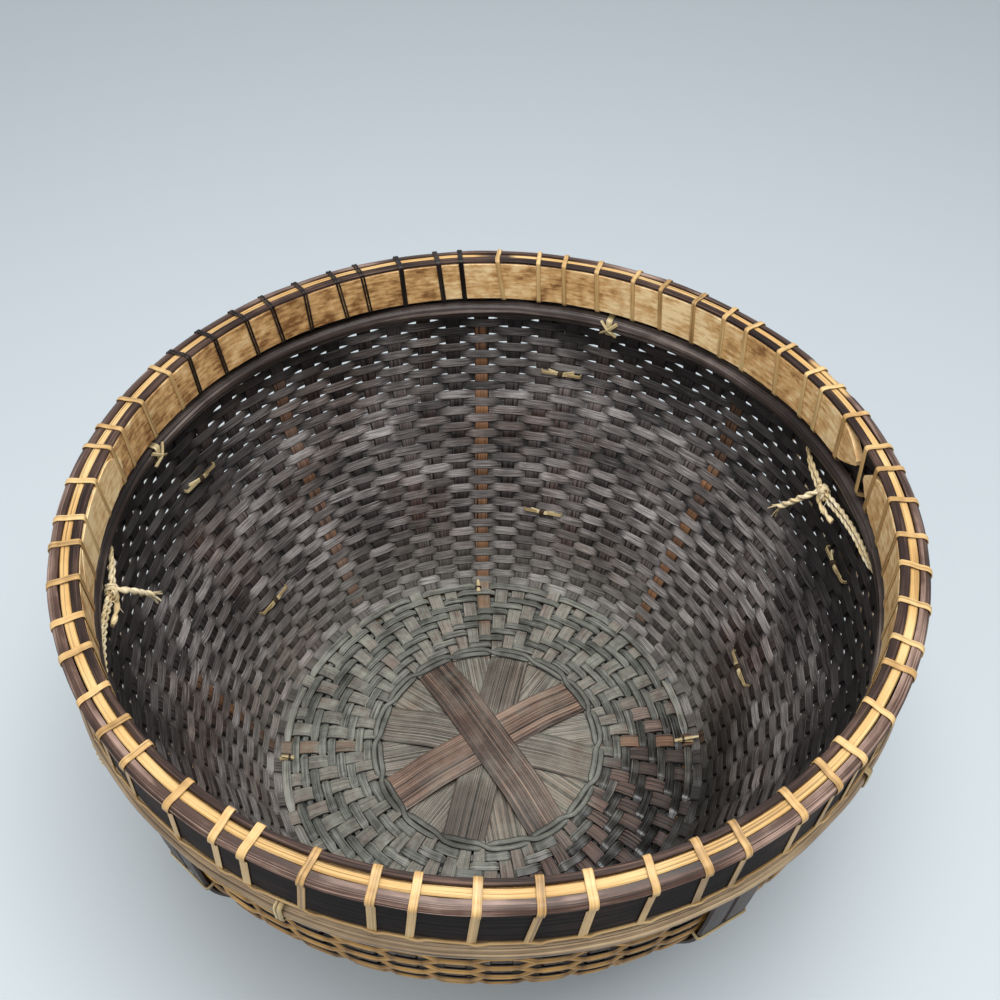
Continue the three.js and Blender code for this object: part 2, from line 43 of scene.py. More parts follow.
# Camera at the photograph's viewing angle, over the front of the basket
view = {
    "position": (0.0042, -0.3941, 0.6705),
    "tilt": 46.69,  # degrees below the horizon
    "roll": 1.40, "lens": 39.6, "sensor": 36.0, "nearest": 0.01,
}


def putInScene(name, data):
    thing = bpy.data.objects.new(name, data)
    bpy.context.scene.collection.objects.link(thing)
    return thing


def putMesh(bm, name, material):
    mesh = bpy.data.meshes.new(name)
    bm.to_mesh(mesh)
    bm.free()
    mesh.materials.append(material)
    return putInScene(name, mesh)


def makeCamera():
    data = bpy.data.cameras.new("camera")
    data.lens = view["lens"]
    data.sensor_width = view["sensor"]
    data.clip_start = view["nearest"]
    camera = putInScene("camera", data)
    tilt = Matrix.Rotation(radians(90 - view["tilt"]), 4, "X")
    roll = Matrix.Rotation(radians(view["roll"]), 4, "Z")
    camera.matrix_world = Matrix.Translation(view["position"]) @ tilt @ roll
    bpy.context.scene.camera = camera


makeCamera()


# Places on a round basket, smooth curves and uneven hand work

def ringPoint(az, radius, height):
    angle = radians(az)
    return Vector((radius * cos(angle), radius * sin(angle), height))


def outward(az):
    return ringPoint(az, 1, 0)


def sideways(az):
    return ringPoint(az + 90, 1, 0)


up = Vector((0, 0, 1))


def clamp(x):
    return min(1, max(0, x))


def ease(x):
    x = clamp(x)
    return x * x * (3 - 2 * x)


def blend(a, b, x):
    return a + (b - a) * x


def evenly(first, last, count):
    return [blend(first, last, i / count) for i in range(count + 1)]


# Angles of a full turn
def circle(count):
    return [tau * i / count for i in range(count)]


def wander(x, y=0.0, z=0.0):
    return noise.noise(Vector((x, y, z)))


def roundWander(az, waves, seed):
    spot = outward(az) * waves / 3
    return wander(spot.x, spot.y, seed)


def spaced(dense, step):
    lengths = [0.0]
    for a, b in zip(dense, dense[1:]):
        lengths.append(lengths[-1] + (b - a).length)
    count = max(2, round(lengths[-1] / step))
    result = []
    place = 0
    for i in range(count + 1):
        target = lengths[-1] * i / count
        while place < len(dense) - 2 and lengths[place + 1] < target:
            place += 1
        span = max(lengths[place + 1] - lengths[place], 1e-9)
        result.append(dense[place].lerp(dense[place + 1], (target - lengths[place]) / span))
    return result


curveSteps = 12


def smoothPath(points, step):
    ring = [points[0] * 2 - points[1], *points, points[-1] * 2 - points[-2]]
    dense = []
    for a, b, c, d in zip(ring, ring[1:], ring[2:], ring[3:]):
        for i in range(curveSteps):
            t = i / curveSteps
            dense.append(0.5 * (2 * b + (c - a) * t + (2 * a - 5 * b + 4 * c - d) * t * t
                                + (3 * b - a - 3 * c + d) * t ** 3))
    dense.append(points[-1])
    return spaced(dense, step)


# A strip is a section carried along spots: centre, across, out, wide, thick, tone, accent

shadings = ("tone", "accent", "skin")


def newMesh():
    bm = bmesh.new()
    bm.loops.layers.uv.new("strand")
    for name in shadings:
        bm.verts.layers.float.new(name)
    return bm


def layStrip(bm, spots, section, closed=False):
    columns = len(spots) if closed else len(spots) - 1
    rows = len(section)
    made = bmesh.ops.create_grid(bm, x_segments=columns, y_segments=rows, size=1)["verts"]
    uvLayer = bm.loops.layers.uv["strand"]
    toneLayer, accentLayer, skinLayer = [bm.verts.layers.float[name] for name in shadings]
    start = random.uniform(0, 9)
    along = [start]
    for i in range(columns):
        along.append(along[-1] + (spots[(i + 1) % len(spots)][0] - spots[i][0]).length)
    width = max(a for a, b in section) - min(a for a, b in section)
    crest = max(b for a, b in section)
    underside = 1.37 * width
    for row in range(rows + 1):
        a, b = section[row % rows]
        lane = start + a + (underside if b < 0 else 0)
        for column in range(columns + 1):
            centre, across, out, wide, thick, tone, accent = spots[column % len(spots)]
            vert = made[row * (columns + 1) + column]
            vert.co = centre + across * (a * wide) + out * (b * thick)
            vert[toneLayer] = tone
            vert[accentLayer] = accent
            vert[skinLayer] = 0.5 - 0.5 * b / crest if b >= 0 else 1
            for loop in vert.link_loops:
                loop[uvLayer].uv = (along[column], lane)
    bmesh.ops.remove_doubles(bm, verts=made, dist=1e-7)
    if not closed:
        rims = {edge for vert in made if vert.is_valid for edge in vert.link_edges if edge.is_boundary}
        bmesh.ops.holes_fill(bm, edges=list(rims), sides=0)


# Sections, from outlines in widths and thicknesses

def scaled(outline, width, thickness):
    return [(a * width, b * thickness) for a, b in outline]


def withOpposite(half):
    return half + [(-a, -b) for a, b in half]


def flatSection(width, thickness):
    return scaled(withOpposite([(-0.5, 0), (-0.44, 0.42), (0, 0.5), (0.44, 0.42)]), width, thickness)


def roundSection(width, thickness, sides):
    return [(0.5 * width * cos(turn), 0.5 * thickness * sin(turn)) for turn in circle(sides)]


def finishPiece(bm, name, material, slot, *nodes, sharp=40):
    bmesh.ops.recalc_face_normals(bm, faces=bm.faces)
    piece = putMesh(bm, name, material)
    piece.data.shade_smooth()
    piece.data.set_sharp_from_angle(angle=radians(sharp))
    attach(piece, "root")
    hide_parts(*nodes)
    return piece


# A piece that is one strip
def makeStrip(name, look, slot, node, spots, section, closed=True, sharp=40):
    bm = newMesh()
    layStrip(bm, spots, section, closed)
    finishPiece(bm, name, look, slot, node, sharp=sharp)


# Materials: split bamboo with its fibres along each strip

# A screen colour in linear light
def paint(code):
    channels = [int(code[i:i + 2], 16) / 255 for i in (0, 2, 4)]
    return tuple(c / 12.92 if c <= 0.04045 else ((c + 0.055) / 1.055) ** 2.4 for c in channels)


class Shader:
    def __init__(self, name):
        self.material = bpy.data.materials.new(name)
        self.material.use_nodes = True
        self.tree = self.material.node_tree

    def fill(self, node, inputs):
        for key, value in inputs.items():
            socket = node.inputs[key]
            if isinstance(value, bpy.types.NodeSocket):
                self.tree.links.new(value, socket)
            else:
                socket.default_value = value
        return node

    def add(self, kind, inputs=None, **settings):
        node = self.tree.nodes.new(kind)
        for key, value in settings.items():
            setattr(node, key, value)
        return self.fill(node, inputs or {})

    def surface(self, inputs):
        self.fill(self.tree.nodes["Principled BSDF"], inputs)
        return self.material

    def joined(self, operation, values):
        total = values[0]
        for value in values[1:]:
            total = self.add("ShaderNodeMath", {0: total, 1: value}, operation=operation).outputs[0]
        return total

    def sum(self, *values):
        return self.joined("ADD", values)

    def times(self, *values):
        return self.joined("MULTIPLY", values)

    # From a share between 0 and 1 to a swing about zero
    def swing(self, value, amount):
        return self.times(self.sum(value, -0.5), amount)

    def mix(self, share, first, second, kind="MIX"):
        inputs = {0: share, 6: first, 7: second}
        return self.add("ShaderNodeMix", inputs, data_type="RGBA", blend_type=kind).outputs[2]

    def tint(self, share, colour, code, kind="MIX"):
        return self.mix(share, colour, (*paint(code), 1), kind)

    def ramp(self, value, *stops):
        node = self.add("ShaderNodeValToRGB", {0: value})
        elements = node.color_ramp.elements
        while len(elements) < len(stops):
            elements.new(0.5)
        for element, (position, colour) in zip(elements, stops):
            element.position = position
            element.color = (*colour, 1)
        return node.outputs[0]

    def fit(self, value, low, high, toLow=0.0, toHigh=1.0):
        return self.add("ShaderNodeMapRange", {0: value, 1: low, 2: high, 3: toLow, 4: toHigh}).outputs[0]

    def noise(self, vector, scale, detail=3.0, rough=0.5):
        inputs = {"Vector": vector, "Scale": scale, "Detail": detail, "Roughness": rough}
        return self.add("ShaderNodeTexNoise", inputs).outputs[0]

    def stretched(self, vector, x, y):
        return self.add("ShaderNodeMapping", {"Vector": vector, "Scale": (x, y, 1)}).outputs[0]


bambooLook = {
    "fibres": 1100,  # per metre across the strip
    "streaks": 22,  # per metre along the strip
    "bundles": 420,  # per metre across the strip
    "grooves": 0.55,  # depth of the dark lines between fibre bundles
    "contrast": 0.9,
    "dust": 0.0,
    "dustColour": "9a988c",
    "dustTop": 0.05,  # height at which the dust has gone
    "cleanSide": 0.0,  # share of dust missing on the worn side of the base
    "dustPatch": 0.35,  # share of dust left where it is thin
    "dustDepth": 0.6,  # share of dust left in the dark fibres
    "accent": "96673f",
    "blush": None,  # colour that large patches are multiplied with
    "darkFrom": None,  # heights between which painted shade darkens the strips
    # strength of the painted shade on the upper wall
    "darkShare": 0.6,
    "stain": 0.0,  # darkness of the worn side near the base's corner
    "skin": None,  # colours of a strip's outer face, dark and light
    "edge": 0.0,  # strength of the painted shade along the strip's edges, where neighbouring strips shade them
    "rough": (0.42, 0.68),
    "gloss": 0.35,
    "bump": 0.5,
    "patches": 0.5,
    "patchScale": 30,
    "toneShare": 0.7,
}
wornSide = (0.80, -0.60)
# Colours of the worn side's stain, and of the painted shade on the upper wall and along the strips' edges
stainAndShade = {"stain": "0c0a0a", "dark": "0f0c0d", "edge": "0a0908"}


# How far a place lies towards the worn side, with an uneven border
def wornPlace(shader, place, parts):
    return shader.sum(shader.times(parts[0], wornSide[0]), shader.times(parts[1], wornSide[1]),
                      shader.swing(shader.noise(place, 30, 4, 0.6), 0.09))


def dusted(shader, look, place, parts, fine, accent):
    cover = shader.fit(shader.noise(place, 90, 6, 0.7), 0.35, 0.66, 0.3 * look["dust"], look["dust"])
    depth = shader.fit(fine, 0.36, 0.6, look["dustDepth"], 1)
    onAccent = shader.fit(accent, 0, 1, 1, 0.25)
    low = shader.fit(parts[2], 0.3 * look["dustTop"], look["dustTop"], 1, 0)
    patchy = shader.fit(shader.noise(place, 24, 3, 0.6), 0.36, 0.58, look["dustPatch"], 1)
    share = shader.times(cover, depth, onAccent, low, patchy)
    if look["cleanSide"]:
        worn = wornPlace(shader, place, parts)
        share = shader.times(share, shader.fit(worn, 0.055, 0.095, 1, 1 - look["cleanSide"]))
    return share


# Painted shade on the upper wall below the rim, which reaches lower down at the front and on the right
def paintedWallShade(shader, look, place, parts, skin):
    level = shader.sum(parts[2], shader.times(parts[1], -0.22),
                       shader.fit(parts[0], 0.0, 0.14, 0.005, 0.026),
                       shader.swing(shader.noise(place, 9, 3), 0.14))
    return shader.times(shader.fit(level, *look["darkFrom"], 0, look["darkShare"]),
                        shader.fit(skin, 0.5, 0.72, 1, 0.15))


def bamboo(name, dark, middle, light, **changes):
    look = {**bambooLook, **changes}
    shader = Shader(name)
    strand = shader.add("ShaderNodeUVMap", uv_map="strand").outputs[0]
    place = shader.add("ShaderNodeTexCoord").outputs["Object"]
    parts = shader.add("ShaderNodeSeparateXYZ", {0: place}).outputs
    tone, accent, skin = [shader.add("ShaderNodeAttribute", attribute_name=key).outputs["Fac"]
                          for key in shadings]
    fine = shader.noise(shader.stretched(strand, look["streaks"], look["fibres"]), 1, 4, 0.6)
    bundles = shader.noise(shader.stretched(strand, look["streaks"] * 0.3, look["bundles"]), 1, 2)
    patches = shader.noise(place, look["patchScale"], 4, 0.6)
    spread = 0.25 * look["patches"]
    value = shader.sum(shader.swing(fine, look["contrast"]), shader.swing(tone, look["toneShare"]),
                       shader.fit(patches, 0.3, 0.7, -spread, spread), 0.5)
    colour = shader.ramp(value, (0.15, paint(dark)), (0.5, paint(middle)), (0.85, paint(light)))
    if look["blush"]:
        blushed = shader.tint(1.0, colour, look["blush"], "MULTIPLY")
        colour = shader.mix(shader.fit(shader.noise(place, 13, 3, 0.55), 0.5, 0.62), colour, blushed)
    warmDark = tuple(0.25 * c for c in paint(look["accent"]))
    warm = shader.ramp(value, (0.1, warmDark), (0.62, paint(look["accent"])))
    colour = shader.mix(accent, colour, warm)
    if look["skin"]:
        face = shader.ramp(value, (0.15, paint(look["skin"][0])), (0.8, paint(look["skin"][1])))
        colour = shader.mix(shader.fit(skin, 0.5, 0.72), colour, face)
    groove = shader.fit(bundles, 0.36, 0.46, 1 - look["grooves"], 1)
    shade = shader.add("ShaderNodeCombineColor", {0: groove, 1: groove, 2: groove}).outputs[0]
    colour = shader.mix(1.0, colour, shade, "MULTIPLY")
    rough = shader.fit(fine, 0.3, 0.7, *look["rough"])
    if look["dust"]:
        share = dusted(shader, look, place, parts, fine, accent)
        colour = shader.tint(share, colour, look["dustColour"])
        rough = shader.sum(rough, shader.times(share, 0.3))
    if look["stain"]:
        stained = shader.times(shader.fit(wornPlace(shader, place, parts), 0.085, 0.125, 0, look["stain"]),
                               shader.fit(parts[2], 0.035, 0.085, 1, 0))
        colour = shader.tint(stained, colour, stainAndShade["stain"])
        rough = shader.sum(rough, shader.times(stained, -0.2))
    # Painted shade on the upper wall, below the rim
    if look["darkFrom"]:
        colour = shader.tint(paintedWallShade(shader, look, place, parts, skin), colour, stainAndShade["dark"])
    # Painted shade: a dark line along each strip's edges
    if look["edge"]:
        border = shader.times(shader.fit(skin, 0.06, 0.38), shader.fit(skin, 0.5, 0.6, look["edge"], 0))
        colour = shader.tint(border, colour, stainAndShade["edge"])
    relief = shader.sum(shader.times(fine, 0.5), groove)
    bumped = shader.add("ShaderNodeBump", {"Height": relief, "Strength": look["bump"], "Distance": 0.0004})
    return shader.surface({"Base Color": colour, "Roughness": rough, "Specular IOR Level": look["gloss"],
                           "Normal": bumped.outputs[0]})


# Looks with darkFrom paint shade on the wall's upper rounds; looks with edge paint shade along their
# strips' edges
weftLook = bamboo(
    "agedWeft", "191818", "655f5d", "b1aca9", dust=0.42, dustTop=0.07, rough=(0.36, 0.6),
    skin=("61421e", "d4a050"), fibres=1900, streaks=60, bundles=700, contrast=1.3, grooves=0.52,
    blush="efe2db", darkFrom=(0.118, 0.172), darkShare=0.85, stain=0.8, edge=0.95)
stakeLook = bamboo(
    "agedStake", "0e0b0b", "3c3534", "726763", grooves=0.97, bundles=620, dust=0.35, dustTop=0.06,
    skin=("16100b", "4a3522"), blush="e8c3b4", darkFrom=(0.118, 0.172), darkShare=0.8, stain=0.8,
    edge=0.7)
baseWeftLook = bamboo(
    "dustyWeft", "0f0e0e", "45433f", "8f8b82", dust=0.78, dustTop=0.2, rough=(0.3, 0.52), cleanSide=1.0,
    contrast=1.7, stain=0.88, dustColour="9b9f93", dustDepth=0.35, dustPatch=0.45, edge=0.98)
baseStakeLook = bamboo(
    "dustyStake", "1a1211", "544039", "8f7468", dust=0.95, dustTop=0.2, grooves=0.9, bundles=700,
    fibres=1700, rough=(0.5, 0.75), cleanSide=0.92, contrast=1.5, dustColour="a0a397", stain=0.62,
    dustDepth=0.5, dustPatch=0.72, toneShare=0.5, edge=0.95)
ringLook = bamboo(
    "dustyStrand", "151413", "4a4843", "85837a", dust=0.8, dustColour="999c90", dustTop=0.2,
    rough=(0.5, 0.7), grooves=0.8, contrast=1.3, edge=0.95)
stripLook = bamboo(
    "dustyStrip", "1c1512", "6d6058", "b8ac9f", dust=0.86, dustTop=0.2, grooves=0.98, fibres=1900,
    bundles=900, streaks=7, rough=(0.5, 0.75), contrast=3.0, dustPatch=0.55, dustColour="9b9c8f",
    blush="f0dacd", dustDepth=0.4, accent="675950", edge=0.8)
topStripLook = bamboo(
    "reddishStrip", "1f1411", "5b4237", "a88a76", dust=0.46, dustTop=0.2, grooves=0.92, fibres=1900,
    bundles=900, streaks=6, rough=(0.4, 0.6), contrast=2.5, dustPatch=0.2, dustDepth=0.4, edge=0.7)
tanHoopLook = bamboo(
    "tanHoop", "7e5630", "cda169", "efd3a0", fibres=420, streaks=110, grooves=0.12, patches=1.0,
    patchScale=80, rough=(0.35, 0.6), bump=0.25, contrast=1.2)
blackBandLook = bamboo(
    "smokedBand", "0b0808", "1f1816", "4c3c35", fibres=1400, grooves=0.5, rough=(0.6, 0.8), gloss=0.1,
    contrast=1.2)
paleLook = bamboo(
    "paleStrip", "976d3c", "c29a60", "dcbe88", grooves=0.6, rough=(0.4, 0.6), accent="4d4039")
darkStripLook = bamboo(
    "darkStrip", "140e0c", "33241e", "6b5346", rough=(0.45, 0.6), gloss=0.2, contrast=1.3)
brownLook = bamboo(
    "brownRod", "1d1410", "4c372d", "a3887a", fibres=900, streaks=12, grooves=0.4, rough=(0.35, 0.5),
    gloss=0.3, contrast=1.7, accent="d2ab72")
tanLook = bamboo(
    "tanSplint", "75562f", "b48f5b", "dabb84", grooves=0.35, rough=(0.35, 0.55), bump=0.3, edge=0.5)
darkSplintLook = bamboo("darkSplint", "080606", "17110f", "40342d", rough=(0.35, 0.55))
darkHoopLook = bamboo(
    "darkHoop", "17110f", "3e3430", "877972", fibres=600, streaks=8, bundles=500, grooves=0.75,
    rough=(0.3, 0.45), contrast=1.3)
outerHoopLook = bamboo(
    "brownHoop", "493a2a", "998062", "ccb28a", fibres=600, streaks=8, bundles=500, grooves=0.6,
    rough=(0.35, 0.5), contrast=1.3)
footLook = bamboo("footRod", "3a2a1c", "6a5138", "96794f", rough=(0.5, 0.75))
ribLook = bamboo("ribSlat", "17110f", "372a25", "675348", fibres=800, rough=(0.4, 0.65), gloss=0.3)
tieLook = bamboo(
    "tieSplint", "5e4c30", "a99368", "dfcfa4", grooves=0.6, fibres=1600, bundles=1400, rough=(0.5, 0.75),
    contrast=1.3, accent="4b3a26")
cordLook = bamboo(
    "fibreCord", "a3804a", "e2c996", "faeed0", fibres=2600, streaks=60, bundles=1800, grooves=0.4,
    rough=(0.8, 0.95), bump=0.7)
print("materials ready")


# Handle cords: an angle from the knot, a radius and a height for each point of a route
cord = {
    "diameter": 0.003,
    "lay": 0.011,  # length of one twist of the plies
    "step": 0.0011,
    "outerLoop": [
        (1.66, 0.2072, 0.2016), (3.8, 0.2079, 0.2042), (5.6, 0.2087, 0.2066), (7.2, 0.2104, 0.2083),
        (8.7, 0.2136, 0.2091), (10.2, 0.2174, 0.2092), (11.8, 0.2207, 0.2082), (13.2, 0.2224, 0.2052),
        (14, 0.2228, 0.2004), (14.2, 0.2227, 0.194), (13.6, 0.2226, 0.186), (12.2, 0.2225, 0.1775),
        (9.9, 0.2224, 0.168), (6.6, 0.2223, 0.1588), (2.4, 0.2223, 0.1512), (-2.2, 0.2223, 0.147),
        (-7, 0.2224, 0.146), (-11.8, 0.2224, 0.148), (-16.2, 0.2224, 0.153), (-20, 0.2224, 0.1606),
        (-22.9, 0.2224, 0.17), (-24.9, 0.2225, 0.18), (-25.9, 0.2227, 0.19), (-26, 0.2228, 0.1985),
        (-25.2, 0.2224, 0.2044), (-23.9, 0.2207, 0.208), (-22.3, 0.2174, 0.2096), (-20.8, 0.2136, 0.2098),
        (-19.3, 0.2106, 0.2095), (-17.4, 0.2089, 0.2089), (-14, 0.2085, 0.2076), (-10.4, 0.2083, 0.206),
        (-6.8, 0.208, 0.2041), (-3.8, 0.2076, 0.2024), (-1.66, 0.2072, 0.2014)],
    "innerLoop": [
        (1.9, 0.207, 0.1976), (3.5, 0.2076, 0.1996), (5, 0.2084, 0.202), (6.3, 0.21, 0.2039),
        (7.7, 0.2131, 0.205), (9.1, 0.2167, 0.2052), (10.6, 0.22, 0.2044), (11.9, 0.2219, 0.2018),
        (12.6, 0.2224, 0.1974), (12.7, 0.2224, 0.1914), (12.1, 0.2224, 0.184), (10.8, 0.2224, 0.1764),
        (8.4, 0.2223, 0.1684), (5.3, 0.2223, 0.161), (1.6, 0.2223, 0.1552), (-2.5, 0.2223, 0.1518),
        (-7, 0.2224, 0.151), (-11.4, 0.2224, 0.1524), (-15.3, 0.2224, 0.1566), (-18.8, 0.2224, 0.1632),
        (-21.6, 0.2224, 0.1716), (-23.5, 0.2224, 0.1808), (-24.4, 0.2224, 0.1896), (-24.4, 0.2224, 0.1964),
        (-23.6, 0.2218, 0.2012), (-22.3, 0.2198, 0.2043), (-20.8, 0.2164, 0.2056), (-19.4, 0.2128, 0.2058),
        (-17.9, 0.2102, 0.2054), (-16, 0.2087, 0.2048), (-12.6, 0.2083, 0.2034), (-9.2, 0.208, 0.2018),
        (-5.8, 0.2076, 0.1998), (-3.6, 0.2072, 0.1984), (-1.9, 0.207, 0.1974)],
    "tail": [
        (0.4, 0.2054, 0.1995), (0.9, 0.2006, 0.1958), (1.9, 0.197, 0.19), (3.2, 0.1946, 0.1828),
        (4.7, 0.1922, 0.175)],
    "stub": [
        (0.2, 0.2052, 0.1976), (-0.5, 0.2046, 0.1936), (-2.4, 0.2048, 0.1918), (-4.8, 0.2062, 0.1913)],
}
handles = {"right": (17.8, 1), "left": (187.0, -1)}
knot = {
    "radius": 0.2066, "height": 0.1995, "turns": 2.75, "start": 0.6, "length": 0.0066, "rise": 0.0039,
    "depth": 0.0024, "sway": 0.0006, "diameter": 0.0029,
    "through": 0.0006,  # height of the strands in the knot
    "ends": [(0.0044, 0.014, 0.7), (0.0036, 0.016, 0.45)],  # diameter, lay and tone
    "frayed": (6, 0.0095, 0.0019),  # fibres, their length and their width
    "fibre": [(0, 0, 0), (0.4, 0.08, 0), (0.75, 0.2, -0.08), (1, 0.33, -0.2)],  # along, out and up
    "hair": [(0, 0), (0.35, 1), (0.7, 0.8), (1, 0)],
}


def carried(path):
    frames = []
    normal = None
    for i, point in enumerate(path):
        tangent = (path[min(i + 1, len(path) - 1)] - path[max(i - 1, 0)]).normalized()
        if normal is None:
            normal = tangent.orthogonal().normalized()
        normal = (normal - tangent * normal.dot(tangent)).normalized()
        frames.append((point, tangent, normal, tangent.cross(normal)))
    return frames


def twoPlySection(diameter):
    centre, ply = 0.21 * diameter, 0.29 * diameter
    section = []
    for angle in circle(14):
        reach = centre * abs(cos(angle)) + sqrt(ply ** 2 - (centre * sin(angle)) ** 2)
        section.append((reach * cos(angle), reach * sin(angle)))
    return section


def layCord(bm, path, diameter, lay, tone):
    spots = []
    travelled = 0.0
    last = path[0]
    for point, tangent, normal, side in carried(path):
        travelled += (point - last).length
        last = point
        turn = tau * travelled / lay
        across = normal * cos(turn) + side * sin(turn)
        out = side * cos(turn) - normal * sin(turn)
        size = 1 + 0.06 * wander(travelled * 200, tone * 9)
        shade = tone + 0.25 * wander(travelled * 90, tone * 7, 3)
        spots.append((point, across, out, size, size, shade, 0))
    layStrip(bm, spots, twoPlySection(diameter))


def cordRoute(side, points):
    middle, turn = handles[side]
    return [ringPoint(middle + turn * az, r, z) for az, r, z in points]


def makeHandle(side):
    for number, key in ((1, "outerLoop"), (2, "innerLoop")):
        path = smoothPath(cordRoute(side, cord[key]), cord["step"])
        bm = newMesh()
        layCord(bm, path, cord["diameter"], cord["lay"], 0.5 + 0.1 * number)
        name = f"handleCord{side.capitalize()}{number}"
        piece = finishPiece(bm, name, cordLook, "cord", f"handle_cord_{side}_{number}", sharp=80)
    knotPiece = makeKnot(side)


# Wraps round both strands, which pass through them
def makeKnot(side):
    bm = newMesh()
    az, turn = handles[side]
    middle = ringPoint(az, knot["radius"], knot["height"])
    aside = sideways(az) * turn
    inward = -outward(az)
    wraps = []
    for t in evenly(0, 1, 66):
        angle = tau * knot["turns"] * t + knot["start"]
        wraps.append(middle + aside * (knot["length"] * (t - 0.5) + knot["sway"] * sin(2 * angle))
                     + up * (knot["rise"] * cos(angle)) + inward * (knot["depth"] * sin(angle)))
    layCord(bm, spaced(wraps, 0.0009), knot["diameter"], 0.010, 0.62)
    for route, height in (("outerLoop", knot["through"]), ("innerLoop", -knot["through"])):
        first, last = cordRoute(side, [cord[route][0], cord[route][-1]])
        path = smoothPath([first, middle + up * height, last], cord["step"])
        layCord(bm, path, knot["diameter"], cord["lay"], 0.5)
    ends = [smoothPath(cordRoute(side, cord[key]), cord["step"]) for key in ("tail", "stub")]
    for path, (diameter, lay, tone) in zip(ends, knot["ends"]):
        layCord(bm, path, diameter, lay, tone)
    fray(bm, ends[0], *knot["frayed"])
    start = middle - aside * 0.008 + up * 0.002 + inward * 0.001
    reach = inward * 0.006 - up * 0.006 - aside * 0.004
    bend = up * (0.25 * reach.length)
    fibre(bm, [start + reach * a + bend * b for a, b in knot["hair"]], 0.0004, 0.7)
    name = f"handleKnot{side.capitalize()}"
    return finishPiece(bm, name, cordLook, "cord", f"handle_knot_{side}", sharp=80)


# Loose fibres at a cut end
def fray(bm, path, count, length, width):
    point, tangent, normal, side = carried(path)[-1]
    for i in range(count):
        angle = tau * i / count + random.uniform(-0.4, 0.4)
        lean = normal * cos(angle) + side * sin(angle)
        reach = length * random.uniform(0.7, 1)
        start = point - tangent * 0.002 + lean * 0.0009
        points = [start + (tangent * a + lean * b + up * c) * reach for a, b, c in knot["fibre"]]
        fibre(bm, points, width * random.uniform(0.7, 1.1), 0.6 + 0.3 * random.random())


def fibre(bm, points, width, tone):
    path = carried(smoothPath(points, 0.0012))
    spots = []
    for i, (point, tangent, normal, side) in enumerate(path):
        size = 1 - 0.4 * i / (len(path) - 1)
        spots.append((point, normal, side, size, size, tone, 0))
    layStrip(bm, spots, roundSection(width, 0.5 * width, 6))


for side in handles:
    makeHandle(side)
print("handles made")


# The fabric follows one line from the ring on the base to the top of the wall
fabric = {
    "line": [
        (0.0700, 0.0094), (0.0900, 0.0098), (0.1150, 0.0098), (0.1340, 0.0099), (0.1412, 0.0108),
        (0.1465, 0.0141), (0.1503, 0.0210), (0.1700, 0.0660), (0.1900, 0.1118), (0.2030, 0.1416),
        (0.2078, 0.1530), (0.2110, 0.1640), (0.2127, 0.1790), (0.2140, 0.1990), (0.2145, 0.2150),
        (0.2140, 0.2340), (0.2135, 0.2496)],
    "baseRounds": 10,
    "firstRound": 0.0818,  # radius of the innermost round
    "roundPitch": 0.00605, "wallPitch": 0.0060, "topPitch": 0.0067,
    "pitchGrows": (0.11, 0.1),  # height from which, and over which, the rounds stand further apart
    "corner": 0.134,  # radius where the base ends
    "stakes": 64,
    "stakeJitter": 0.45,  # degrees
    "weftWidth": (0.0054, 0.0065),  # on the base, on the wall
    "weftThickness": 0.0009,
    "weftBulge": 0.0017,  # of a wall weft's rounded outer face
    "weftLean": (-0.13, -0.12),  # the lower edge stands inwards, over the round below
    "weftWear": 0.13, "stakeWidth": 0.0100, "stakeThickness": 0.0015, "weftBend": (0.0013, 0.0010),
    "stakeBend": (0.0009, 0.0008),
}

linePoints = smoothPath([Vector((r, 0, z)) for r, z in fabric["line"]], 0.0005)
lineLengths = [0.0]
for first, second in zip(linePoints, linePoints[1:]):
    lineLengths.append(lineLengths[-1] + (second - first).length)
lineStep = lineLengths[-1] / (len(linePoints) - 1)


# Radius, height, and the direction along the line at a distance from its start
def onLine(s):
    place = min(max(s / lineStep, 0), len(linePoints) - 1.001)
    i = int(place)
    point = linePoints[i].lerp(linePoints[i + 1], place - i)
    j = min(max(i, 1), len(linePoints) - 3)
    direction = (linePoints[j + 2] - linePoints[j - 1]).normalized()
    return point.x, point.z, direction.x, direction.z


def distanceAt(radius=None, height=None):
    for point, length in zip(linePoints, lineLengths):
        if radius and point.x >= radius:
            return length
        if height and point.x > 0.15 and point.z >= height:
            return length
    return lineLengths[-1]


# A point of the fabric, the direction up the fabric and its inner face's normal
def onFabric(s, az, lift=0.0):
    r, z, alongR, alongZ = onLine(s)
    out = outward(az)
    normal = out * -alongZ + up * alongR
    return out * r + up * z + normal * lift, out * alongR + up * alongZ, normal


def rowPlaces():
    start = distanceAt(radius=fabric["firstRound"])
    base = [start + i * fabric["roundPitch"] for i in range(fabric["baseRounds"])]
    wall = []
    s = base[-1] + fabric["roundPitch"]
    low, over = fabric["pitchGrows"]
    while s < lineLengths[-1] - 0.003:
        wall.append(s)
        s += blend(fabric["wallPitch"], fabric["topPitch"], ease((onLine(s)[1] - low) / over))
    return base, wall


baseRows, wallRows = rowPlaces()
cornerPlace = distanceAt(radius=fabric["corner"])
stakeStep = 360 / fabric["stakes"]
jitter = fabric["stakeJitter"]
stakeJitter = [random.uniform(-jitter, jitter) for i in range(fabric["stakes"])]


# Four stakes from each arm of the base
def stakeAngle(index, s):
    order = index % fabric["stakes"]
    return stakeStep * (index + 0.5) + stakeJitter[order] + 0.35 * wander(order * 3.1, s * 18)


# Whether a round lies inside (1) or outside (-1) a stake
def baseOver(order, row):
    if row == fabric["baseRounds"] - 1:
        return 1 if order % 4 else -1
    return 1 if (order + row) % 4 < 2 else -1


def wallOver(index, row):
    return 1 if (index + row) % 2 == 0 else -1


